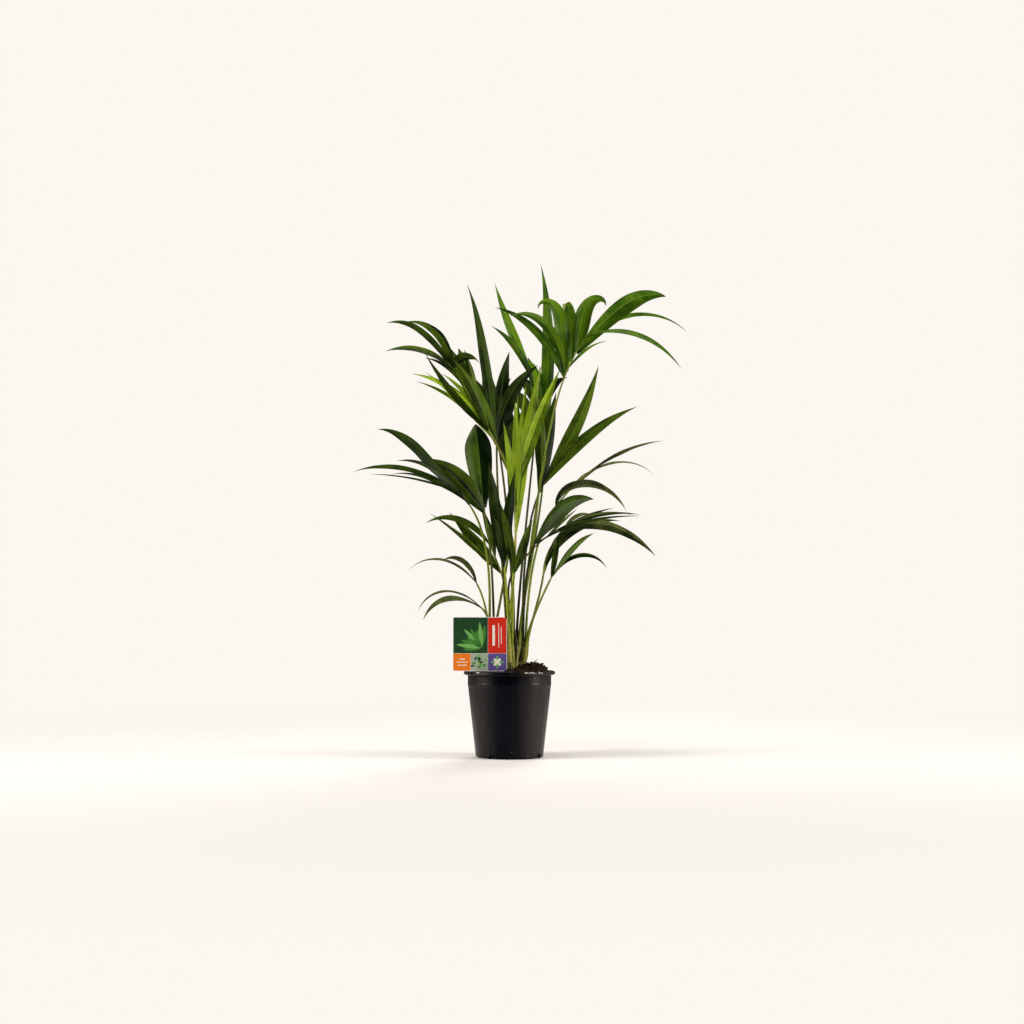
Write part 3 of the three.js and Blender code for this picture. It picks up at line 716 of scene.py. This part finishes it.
# A spray of leaves that spreads from the lower right corner of the green panel.
for i, turn in enumerate(np.linspace(*SPRAY.turns, SPRAY.leaves)):
    spray_leaf = leaf_outline(SPRAY.length + SPRAY.longer * np.sin(i * SPRAY.swing), SPRAY.width, turn)
    ink = "light_green" if i % 3 == 1 else "leaf_green"
    add_print(ink, spray_leaf, panel_middle["deep_green"] + SPRAY.foot, 2 + i % 2)
for panel, bars in BARS.items():
    for *offset, width, height in bars:
        bar = rounded_outline(width, height, PRINT.bar_corner, PRINT.corner_points)
        add_print("pale", bar, panel_middle[panel] + offset, 2)
# Small round leaves on the grey-green square, and an eight-petalled flower on the violet one.
for i in range(ROUND_LEAVES.count):
    out, turn = ROUND_LEAVES.reach * (i / ROUND_LEAVES.count) ** 0.5, i * ROUND_LEAVES.step
    centre = panel_middle["grey_green"] + [out * np.cos(turn), out * np.sin(turn)]
    round_leaf = leaf_outline(ROUND_LEAVES.length, ROUND_LEAVES.width, i * ROUND_LEAVES.turn)
    add_print(("deep_green", "leaf_green", "light_green")[i % 3], round_leaf, centre, 2 + i % 2)
for i in range(FLOWER.petals):
    petal_length = FLOWER.length - FLOWER.shorter * (i % 2)
    petal = leaf_outline(petal_length, FLOWER.width, 360 / FLOWER.petals * i)
    add_print("pale" if i % 2 else "light_green", petal, panel_middle["violet"], 2 + i % 2)
add_piece("label_print", prints, ink_materials, "label")

# ------------------------------------------------------------------------------------------- stems
# Each seedling has a short stem wrapped in the dry brown bases of its old leaves, thickest where it
# meets the soil and split into fibres at the edges.

STEM = Sizes(
    foot=164, top=221, foot_radius=9.5, top_radius=8.2, flare=1.4, rows=60, around=72,
    rounded_from=0.93, rounding=0.45)
OLD_SHEATHS = Sizes(count=3, proud=0.9, slant=0.10)
FIBRES = ((0.22, 17, 3), (0.14, 41, 0))  # how proud, how many round the stem, and how far they turn


def grid_place(material):
    """The place on a piece's grid: x across from 0 to 1, and y along."""
    return add_node(material.node_tree, "ShaderNodeUVMap", uv_map="grid")[0]


def streaks(name, light, dark, foot, fibre_scale=900.0):
    """A fibrous green or brown skin: long streaks up the limb, scurf in specks, and a browner foot."""
    material, shader, place = new_material(name)
    fibre = noise_value(stretched(place, (1.0, 1.0, 0.05)), fibre_scale)
    scurf = use_group(dust_group, {
        "Place": place, "Smear Scale": 60.0, "Speck Scale": 1300.0, "Specks": 0.66})
    along = axes_of(grid_place(material))["Y"]
    share = plus(scaled(fibre, 0.3, 0.7), painted(material, "tone"))
    low_down = plus(scaled(along, 0.30, 0.0), times(scurf["Smears"], 0.3))
    colour = mix_colour(low_down, mix_colour(share, dark, light), foot)
    colour = mix_colour(times(scurf["Specks"], 0.6), colour, (0.03, 0.017, 0.007))
    feed(shader, {
        "Base Color": colour, "Roughness": scaled(fibre, 0.3, 0.7, 0.34, 0.58),
        "Normal": bump(fibre, 0.25), "Specular IOR Level": 0.15})
    return material


def sheathed(radius, share, turn):
    """Old leaf bases: overlapping collars whose upper edges run round the stem on a slant, each a
    little proud of the one above it, with fibres as fine ridges up the stem."""
    slant = share + OLD_SHEATHS.slant * np.sin(turn + 6.0 * share)
    proud = OLD_SHEATHS.proud * (1 - np.mod(slant * OLD_SHEATHS.count, 1.0)) ** 3
    fibres = sum(high * np.sin(count * turn + lean * share) for high, count, lean in FIBRES)
    return radius + (proud + fibres) * np.clip(8 * (1 - share), 0, 1)


def stem_ends(seedling):
    """Where a seedling's stem begins in the soil and where its stalks leave it."""
    return np.array([[*seedling.foot, STEM.foot], [*seedling.top, STEM.top]], float)


stem_material = streaks(
    "stem_sheath", (0.30, 0.28, 0.060), (0.026, 0.022, 0.005), (0.050, 0.030, 0.012), 630.0)
share = np.linspace(0, 1, STEM.rows)[:, None]
turn = np.linspace(0, 2 * np.pi, STEM.around + 1)
rounded = ((share - STEM.rounded_from) / (1 - STEM.rounded_from)).clip(0)
radius = STEM.top_radius + (STEM.foot_radius - STEM.top_radius) * (1 - share) ** STEM.flare
reach = sheathed(radius * (1 - STEM.rounding * rounded ** 2), share, turn)
rings = points_of(reach * np.cos(turn), reach * np.sin(turn), 0)
for name, seedling in SEEDLINGS.items():
    foot, top = stem_ends(seedling)
    line = foot + share * (top - foot)
    stem = capped(line, line[:, None] + rings)
    add_piece("palm_stem_" + name, [stem], [stem_material], "stem", ["stem_" + name])

# ------------------------------------------------------------------------------- stalks and fronds
# A frond stands on a long channelled stalk whose base wraps the stem as a sheath. Its rib carries
# pointed leaflets, folded along a raised midrib, that arch over under their own weight. Their tips
# dry to brown threads.

STALK = Sizes(
    foot_radius=2.8, tip_radius=2.0, swelling=1.0, swelling_ends=0.05, ring=5.6, foot_handle=0.16,
    tip_handle=0.32, rows=60, clearance=0.35, channel=0.28, channel_width=0.55, tones=(-0.2, 0.25))
SHEATH = Sizes(length=34, rows=14, wider=0.9, off_stem=1.6, bend=1.6)
RIB = Sizes(tip_radius=0.9, rows=30, around=14, overlap=1.0)
LEAFLET = Sizes(
    rows=96, cols=15, bow=1.4, widest=0.42, foot=0.22, thick=0.7, edge_thinner=0.75, fold=0.32,
    foot_fold=0.42, foot_fold_ends=0.06, fold_round=0.006, bulge=0.05, wave=0.07, wave_heights=(0.5, 1.0),
    wave_counts=(1.6, 3.2), midrib=0.5, midrib_below=0.6, midrib_half=0.8, twist=16, ripple=3.0,
    ripples=1.4, tones=(-0.38, 0.36), seed=11)

# Each look: the upper side's colour in shade and at its lightest, the underside's colour, the light that
# shines through, how much of it does, and how strongly the veins show. The looks are partly the fronds'
# own colours and partly painted shade and painted light: the darker and lighter looks stand partly for
# how much light reaches each frond.
LOOKS = {
    "deep": (
        (0.002, 0.006, 0.001), (0.036, 0.066, 0.006), (0.11, 0.15, 0.036), (0.07, 0.14, 0), 0.10, 0.14),
    "dark": (
        (0.003, 0.011, 0.001), (0.084, 0.142, 0.007), (0.16, 0.21, 0.05), (0.14, 0.27, 0), 0.15, 0.14),
    "faded": (
        (0.012, 0.022, 0.004), (0.15, 0.182, 0.05), (0.16, 0.19, 0.06), (0.14, 0.2, 0.03), 0.14, 0.14),
    "mid": (
        (0.005, 0.027, 0.001), (0.118, 0.225, 0.008), (0.22, 0.28, 0.06), (0.13, 0.38, 0), 0.21, 0.20),
    "bright": (
        (0.030, 0.074, 0.002), (0.33, 0.46, 0.022), (0.38, 0.48, 0.06), (0.36, 0.58, 0.02), 0.26, 0.50),
}
STALK_LOOKS = {  # light, dark, and the colour of the foot
    "green": ((0.22, 0.29, 0.020), (0.048, 0.072, 0.004), (0.24, 0.22, 0.035)),
    "yellow": ((0.50, 0.56, 0.07), (0.16, 0.21, 0.01), (0.42, 0.34, 0.08)),
    "olive": ((0.130, 0.165, 0.012), (0.022, 0.032, 0.002), (0.10, 0.08, 0.015)),
    "brown": ((0.055, 0.062, 0.006), (0.008, 0.010, 0.001), (0.020, 0.014, 0.004)),
}
# Each frond: seedling, look of the leaflets and of the stalk, collar where the stalk ends and the
# blade begins, rib [heading, rise, length, droop], face [heading, rise] that the blade's upper side
# looks towards, and its leaflets, each [how far along the rib it leaves, heading, rise, length, droop,
# width, and where they aren't usual, bow and how far along the leaflet is widest].
FRONDS = {
    "right_broad": ("right", "deep", "brown", (45, -66, 413), (-45, 66, 14, 5), (-100, 50), [
        (0.95, -45, 53, 188, 64, 42), (0.5, -20, 36, 232, 40, 9, 0.8)]),
    "right_low_small": ("right", "dark", "green", (79, -60, 349), (-30, 60, 14, 5), (-110, 50), [
        (0.95, -40, 54, 134, 38, 17), (0.8, -15, 58, 138, 124, 12), (0.5, -60, 74, 90, 10, 14)]),
    "right_low_long": ("right", "faded", "green", (67, -22, 361), (-20, 82, 78, 30), (-110, 60), [
        (0.96, -20, 72, 238, 121, 23, 0.5), (0.3, -60, 60, 70, 20, 12),
        (0.05, -12, 85, 208, 95, 20, 0.85)]),
    "right_mid_arch": ("right", "faded", "green", (93, 74, 499), (25, 50, 122, 16), (-80, 55), [
        (0.97, 5, 35, 162, 31, 11), (0.8, 30, 31, 184, 70, 8), (0.06, -20, 108, 191, 168, 23, 0.5),
        (0.5, 55, 32, 110, 20, 10)]),
    "right_mid_pair": ("right", "dark", "brown", (59, 34, 525), (20, 66, 26, 5), (-80, 30), [
        (0.2, -20, 81.5, 206, 4, 30), (0.96, 24, 56, 278, -17, 28), (0.9, 10, 53, 258, 33, 25),
        (0.6, -95, 80, 190, 10, 24)]),
    "right_high": ("right", "mid", "green", (89, -66, 686), (-15, 76, 180, 31), (-100, 25), [
        (0.37, 200, 66, 206, 58, 17), (0.37, 215, 86, 204, 112, 20), (0.44, 165, 84, 181, 200, 31, 6),
        (0.56, 250, 88, 153, 260, 26, 5), (0.67, -20, 80.5, 147, 190, 34, 4.5),
        (0.67, -15, 47, 220, 70, 37, 3, 0.58), (0.87, 20, 39, 244, 83, 12),
        (0.9, -35, 15, 240, 69, 10, 0.9), (0.47, 40, 48, 132, 42, 7)]),
    "back_low_right": ("back", "faded", "brown", (9, 28, 369), (16, 52, 158, 30), (-80, 55), [
        (0.97, 20, 26, 106, 18, 9), (0.9, 0, 27, 148, 44, 11), (0.8, -15, 25, 178, 38, 12),
        (0.62, 20, 44, 92, 8, 7), (0.75, 75, 35, 150, 50, 12), (0.93, 60, 30, 150, 60, 12)]),
    "back_narrow": ("back", "mid", "green", (55, 68, 729), (170, 78, 44, 0), (-90, 15), [
        (0.96, 155, 61.5, 214, -11, 19, 1.2), (0.6, 200, 68, 150, 42, 14), (0.3, 105, 66, 90, 30, 20)]),
    "back_spear": ("back", "mid", "green", (73, 84, 627), (90, 84, 24, 0), (-90, 10), [
        (0.96, 180, 92.5, 355, 16, 26, 3), (0.6, 100, 70, 220, 40, 28), (0.4, -150, 85, 156, 0, 18),
        (0.2, 110, 74, 220, 30, 26)]),
    "back_right": ("back", "deep", "brown", (52, 104, 645), (80, 60, 90, 14), (-100, 40), [
        (0.97, 75, 44, 190, 60, 26), (0.8, 105, 50, 200, 60, 26), (0.5, 60, 62, 180, 60, 26),
        (0.3, 122, 56, 170, 50, 26)]),
    "back_left": ("back", "deep", "brown", (-2, 92, 555), (100, 68, 90, 10), (-80, 40), [
        (0.97, 85, 50, 180, 50, 24), (0.8, 100, 56, 190, 50, 24), (0.5, 75, 62, 180, 50, 24),
        (0.3, 108, 60, 150, 60, 22)]),
    "back_high": ("back", "dark", "brown", (-24, 104, 635), (112, 64, 80, 12), (-70, 40), [
        (0.97, 95, 56, 190, 50, 28), (0.8, 115, 54, 190, 50, 26), (0.5, 75, 62, 180, 50, 26),
        (0.3, 125, 60, 160, 50, 24)]),
    "left_low": ("middle", "dark", "green", (-15, 2, 361), (175, 70, 80, 5), (-90, 45), [
        (0.84, 180, 55, 152, 90, 15), (0.05, 192, 46, 190, 16, 13), (0.1, 172, 52, 160, 8, 28),
        (0.5, 120, 72, 120, 30, 16)]),
    "left_yellow": ("left", "bright", "olive", (-16, 66, 610), (170, 64, 58, 6), (-80, 40), [
        (0.95, 160, 55.5, 220, 49, 17), (0.6, 205, 48.5, 208, 39, 13), (0.5, 165, 51.5, 212, 18, 15),
        (0.9, 190, 64, 158, 36, 15), (0.8, 150, 66, 172, 16, 16)]),
    "left_small_upper": ("left", "faded", "green", (-63, 12, 339), (180, 62, 12, 0), (-60, 55), [
        (0.95, 160, 48, 167, 95, 10), (0.5, 205, 77, 104, 110, 13)]),
    "middle_left_low": ("left", "deep", "green", (-74, -62, 491), (195, 57, 36, 5), (-70, 50), [
        (0.9, 200, 46, 222, 54, 36, 4), (0.6, 160, 38.5, 266, 60, 25, 1.4, 0.58),
        (0.95, 215, 24, 216, 26, 8, 0.7), (0.5, 145, 35, 212, 44, 16), (0.3, 225, 45, 214, 56, 18)]),
    "left_small_lower": ("left", "faded", "green", (-53, -22, 293), (190, 45, 12, 0), (-60, 60), [
        (0.95, 195, 42, 150, 116, 8), (0.5, 215, 30, 158, 98, 15)]),
    "middle_high": ("middle", "dark", "green", (-17, -8, 605), (195, 61, 202, 4), (-70, 40), [
        (0.97, 205, 54, 176, 75, 17, 2), (0.96, 155, 78, 172, 92, 20), (0.9, 215, 51, 180, 72, 14, 0.8),
        (0.9, 145, 70, 96, 60, 13), (0.75, 200, 56, 104, 56, 9), (0.5, 200, 82, 122, 12, 17),
        (0.96, -40, 75, 84, 122, 22, 0.7), (0.25, 190, 44, 203, -14, 19),
        (0.3, 152, 67, 200, 14, 32, 1.4, 0.55), (0.25, 225, 66, 170, 30, 24), (0.1, 165, 74, 190, 24, 26),
        (0.5, 165, 79, 130, 16, 30, 1.4, 0.55)]),
    "left_dark_fan": ("middle", "deep", "olive", (-26, 34, 623), (90, 85, 30, 0), (-90, 10), [
        (0.5, 160, 81, 328, 16, 21, 5), (0.96, 50, 80.5, 174, 12, 28, 2), (0.8, 12, 77, 172, 44, 30),
        (0.4, 50, 72, 150, 44, 30), (0.7, 105, 70, 220, 50, 28), (0.6, 150, 76, 150, 30, 28)]),
    "middle_broad": ("left", "dark", "olive", (-49, -24, 483), (150, 76, 14, 0), (-90, 14), [
        (0.96, 116, 78, 174, 2, 54, 1.4, 0.7), (0.5, 200, 60, 160, 47, 30), (0.2, 200, 49, 128, 6, 26)]),
    "middle_dark": ("middle", "deep", "yellow", (-9, -58, 369), (-120, 80, 16, 0), (-60, 20), [
        (0.95, -120, 76, 205, 8, 32), (0.5, -100, 60, 150, 50, 16), (0.8, -40, 84, 190, 6, 24)]),
    "middle_front": ("middle", "dark", "green", (9, -66, 357), (-60, 72, 12, 0), (-100, 30), [
        (0.95, -60, 60, 122, 10, 20), (0.5, -130, 78, 150, 14, 18)]),
    "middle_young": ("middle", "bright", "yellow", (11, -34, 425), (60, 84, 150, 6), (-90, 10), [
        (0.5, -95, 80, 216, 8, 17), (0.7, 50, 80, 216, 8, 17), (0.9, 35, 79, 236, 6, 18),
        (0.97, 0, 72, 222, 8, 22), (0.8, 20, 72, 204, 8, 17), (0.4, 150, 83, 190, 6, 16),
        (0.1, 50, 80, 280, 4, 17), (0.6, 90, 80, 223, 6, 15), (0.75, 71, 80, 219, 5, 16)]),
}
UP = np.array([0.0, 0.0, 1.0])

# Veins: a thin pale midrib along the middle of the grid, and finer veins beside it that run the whole
# length of the leaflet.
vein_group, given, result = new_group(
    "veins", ["Across", "Place", "Veins", "Midrib Width"], ["Midrib", "Stripe", "Height"])
off_middle = maths("ABSOLUTE", maths("SUBTRACT", given["Across"], 0.5))
midrib = scaled(off_middle, given["Midrib Width"], 0.0)
wander = times(noise_value(given["Place"], 40.0, 1.0, 0.55), 2.0)
phase = plus(times(times(off_middle, given["Veins"]), 4 * np.pi), wander)
stripe = scaled(maths("COSINE", phase), -1.0, 1.0)
vein_height = plus(midrib, times(stripe, 0.3))
feed(result, {"Midrib": midrib, "Stripe": stripe, "Height": vein_height})


def leaf_material(look):
    """Waxy leaf: two greens mixed by streaks along the blade, a paler midrib, an underside of its own,
    brown at the very tip, and light that comes through the blade. Painted shade darkens a leaflet near
    its foot, and tone paints its right half lighter or darker, as painted light and shade on one side of
    the fold."""
    shade, light, below, through, let_through, vein_share = LOOKS[look]
    material, shader, place = new_material("leaf_" + look)
    uv = grid_place(material)
    under = painted(material, "under")
    across, along, _ = axes_of(uv)
    veins = use_group(vein_group, {"Across": across, "Place": place, "Veins": 6.0, "Midrib Width": 0.045})
    cloud = noise_value(place, 26.0)
    streak = noise_value(stretched(uv, (26.0, 1.6, 1.0)), 1.0, 2.0, 0.55)
    # Painted light and shade: tone makes the right half of each leaflet lighter or darker, as if light
    # fell on one side of its fold.
    painted_half_light = times(painted(material, "tone"), scaled(across, 0.47, 0.53, 0.0, 2.0))
    # The share mixes the leaf's own clouds, streaks and veins with the painted half light and a painted
    # shade that darkens each leaflet towards its foot.
    share = plus(
        scaled(cloud, 0.3, 0.7, -0.25, 0.45), times(streak, 0.45), painted_half_light,
        times(veins["Stripe"], vein_share), scaled(along, 0.0, 0.4, -0.30, 0.04))
    upper_colour = mix_colour(share, shade, light)
    lower_colour = mix_colour(veins["Stripe"], [0.7 * part for part in below], below)
    colour = mix_colour(under, upper_colour, lower_colour)
    rib_colour = [min(1.0, 1.5 * part + 0.02) for part in light]
    colour = mix_colour(times(veins["Midrib"], 0.55), colour, rib_colour)
    ragged = plus(along, times(cloud, 0.05))
    colour = mix_colour(scaled(ragged, 0.965, 0.995), colour, (0.07, 0.035, 0.015))
    veined = bump(veins["Height"], 0.12, 0.5)
    feed(shader, {
        "Base Color": colour, "Normal": bump(cloud, 1.0, 0.3, Normal=veined),
        "Roughness": plus(scaled(streak, 0.3, 0.7, 0.34, 0.48), times(under, 0.2)),
        "Specular IOR Level": 0.09})
    glow = add_node(material.node_tree, "ShaderNodeBsdfTranslucent", {"Color": through})[0]
    blend = lead_through("ShaderNodeMixShader", {0: let_through, 1: shader.outputs[0], 2: glow})[0]
    feed(material.node_tree.nodes["Material Output"], {"Surface": blend})
    return material


def direction(heading, rise):
    """Unit vector: (cos rise cos heading, cos rise sin heading, sin rise)."""
    heading, rise = np.radians([heading, rise])
    return np.array([np.cos(rise) * np.cos(heading), np.cos(rise) * np.sin(heading), np.sin(rise)])


def arch(start, heading, rise, length, droop, u, bow):
    """A limb that leaves start and bows towards the ground: at u its rise is rise - droop u^bow, and
    its points are the sum of steps in the direction at the middle of each step."""
    outward = direction(heading, 0)

    def along(share):
        angle = np.radians(rise - droop * share ** bow)[:, None]
        return np.cos(angle) * outward + np.sin(angle) * UP

    steps = along((u[1:] + u[:-1]) / 2) * (np.diff(u) * length)[:, None]
    points = start + np.concatenate([np.zeros((1, 3)), np.cumsum(steps, axis=0)])
    return points, along(u), np.cross(outward, UP)


def upper_of_arch(tangent, level, face):
    """The upper side of an arch: the same angle to its upright plane all the way, which at its start
    looks as nearly as it can towards face."""
    above = np.cross(level, tangent[0])
    turn = np.arctan2(face @ level, face @ above)
    return np.cross(level, tangent) * np.cos(turn) + level * np.sin(turn)


def leaflet_share(u, widest):
    """Width along a leaflet as a share of its widest: foot + (1 - foot) sin up to the widest place,
    and from there the cosine to the power 1.5 - widest, which makes a leaflet that is widest near its
    end blunter."""
    rising = LEAFLET.foot + (1 - LEAFLET.foot) * np.sin(u / widest * np.pi / 2)
    falling = np.cos((u - widest) / (1 - widest) * np.pi / 2).clip(0) ** (1.5 - widest)
    return np.where(u < widest, rising, falling)


def leaflet_part(
        start, face, draw, heading, rise, length, droop, width, bow=LEAFLET.bow, widest=LEAFLET.widest):
    """A folded blade over a grid of u along and v across, from -1 to 1. point = arch(u) + side half(u)
    v + upper lift, with lift = - fold |v| + bulge sin(pi v)^2 + wave v^2 + midrib exp(-(v half /
    midrib half)^2), rounded at the fold. The blade turns slowly about its own line, and its lower side
    lies one thickness under the upper, with less of the midrib."""
    u = np.linspace(0, 1, LEAFLET.rows)
    v = np.linspace(-1, 1, LEAFLET.cols)
    line, tangent, level = arch(start, heading, rise, length, droop, u, bow)
    upper = upper_of_arch(tangent, level, face)
    side = np.cross(tangent, upper)
    u = u[:, None]
    twist = np.radians(draw.uniform(-LEAFLET.twist, LEAFLET.twist)) * u ** 1.3
    ripples = np.sin(2 * np.pi * (LEAFLET.ripples * u + draw.uniform()))
    twist = twist + np.radians(LEAFLET.ripple) * ripples
    cos, sin = np.cos(twist), np.sin(twist)
    upper, side = upper * cos + side * sin, side * cos - upper * sin
    half = width / 2 * leaflet_share(u, widest)
    fold = half * (LEAFLET.fold + LEAFLET.foot_fold * np.exp(-u / LEAFLET.foot_fold_ends))
    off_fold = np.sqrt(v ** 2 + LEAFLET.fold_round) - np.sqrt(LEAFLET.fold_round)
    waves = []
    for _ in ("left half", "right half"):
        height, count = draw.uniform(*LEAFLET.wave_heights), draw.uniform(*LEAFLET.wave_counts)
        waves.append(height * np.sin(2 * np.pi * (count * u + draw.uniform())))
    wave = np.where(v < 0, *waves) * (LEAFLET.wave * half) * v ** 2
    ridge = LEAFLET.midrib * np.exp(-(v * half / LEAFLET.midrib_half) ** 2) * np.clip(6 * (1 - u), 0, 1)
    lift = wave + LEAFLET.bulge * half * np.sin(np.pi * v) ** 2 - fold * off_fold
    thick = LEAFLET.thick * np.clip(5 * (1 - u), 0, 1) * (1 - LEAFLET.edge_thinner * v ** 2)
    flat = line[:, None] + side[:, None] * (half * v)[..., None]
    lifts = (lift + ridge + thick / 2, lift - LEAFLET.midrib_below * ridge - thick / 2)
    made = shell(*[flat + upper[:, None] * each[..., None] for each in lifts])
    # Tone sets how much painted light or shade falls on the leaflet's right half.
    made["tone"] = draw.uniform(*LEAFLET.tones)
    return made


def channelled(turn):
    """The section of a stalk: round below, with a shallow channel along its upper side."""
    from_top = np.angle(np.exp(1j * (turn - np.pi / 2)))
    return 1 - STALK.channel * np.exp(-((from_top / STALK.channel_width) ** 2))


def stalk_part(start, end, lean, outward, blade_way):
    """A Bezier curve from the ring on the stem to the collar, and below it a sheath that widens and
    lies along the stem. Its upper side is the one towards the stem, square to the line."""
    reach = np.linalg.norm(end - start)
    foot_handle = start + UP * reach * STALK.foot_handle
    handles = [start, foot_handle, end - blade_way * reach * STALK.tip_handle, end]
    u = np.linspace(0, 1, STALK.rows)[:, None]
    weights = [(1 - u) ** 3, 3 * (1 - u) ** 2 * u, 3 * (1 - u) * u ** 2, u ** 3]
    curve = sum(weight * handle for weight, handle in zip(weights, handles))
    down = np.linspace(1, 0, SHEATH.rows, endpoint=False)[:, None]
    sheath = start - lean * SHEATH.length * down
    sheath = sheath + outward * SHEATH.off_stem * np.sin(np.pi * down / SHEATH.bend)
    line = np.concatenate([sheath, curve])
    tangent = unit(np.gradient(line, axis=0))
    inward = unit((start - end) * (1, 1, 0))
    upper = unit(inward - (tangent @ inward)[:, None] * tangent)
    widening = STALK.foot_radius + SHEATH.wider * np.sin(np.pi * down) ** 0.8
    thinning = STALK.foot_radius + (STALK.tip_radius - STALK.foot_radius) * u
    thinning = thinning + STALK.swelling * np.exp(-u / STALK.swelling_ends)
    return ring_tube(line, tangent, upper, np.concatenate([widening, thinning])[:, 0], channelled)


leaf_materials = {look: leaf_material(look) for look in LOOKS}
stalk_materials = {look: streaks("stalk_" + look, *colours) for look, colours in STALK_LOOKS.items()}
draw = np.random.default_rng(LEAFLET.seed)
for seedling_name, seedling in SEEDLINGS.items():
    own = {name: frond[1:] for name, frond in FRONDS.items() if frond[0] == seedling_name}
    foot, top = stem_ends(seedling)
    lean = unit(top - foot)
    for i, (name, (leaf_look, stalk_look, collar, rib, face, leaflets)) in enumerate(own.items()):
        materials = [leaf_materials[leaf_look], stalk_materials[stalk_look]]
        outward = direction(seedling.first + 360 * i / len(own), 0)
        start, end = top + STALK.ring * outward + STALK.clearance * UP, np.array(collar, float)
        blade_way = direction(*rib[:2])
        stalk = stalk_part(start, end, lean, outward, blade_way)
        stalk["tone"] = draw.uniform(*STALK.tones)
        add_piece("leaf_stalk_" + name, [stalk], materials[1:], "stalk", ["stalk_" + name])

        # The blade: the rib grows on from the stalk, thins, and ends in a point.
        u = np.linspace(0, 1, RIB.rows)
        line, tangent, level = arch(end - RIB.overlap * blade_way, *rib, u, LEAFLET.bow)
        looks = direction(*face)
        radius = (STALK.tip_radius + (RIB.tip_radius - STALK.tip_radius) * u) * (1 - u ** 30)
        upper = upper_of_arch(tangent, level, looks)
        parts = [ring_tube(line, tangent, upper, radius, channelled, RIB.around)]
        parts[0]["finish"] = 1
        for share, *row in leaflets:
            leaflet_foot = np.array([np.interp(share, u, line[:, axis]) for axis in range(3)])
            parts.append(leaflet_part(leaflet_foot, looks, draw, *row))
        slot = "young_leaf" if leaf_look == "bright" else "leaf"
        add_piece("palm_frond_" + name, parts, materials, slot, ["frond_" + name])
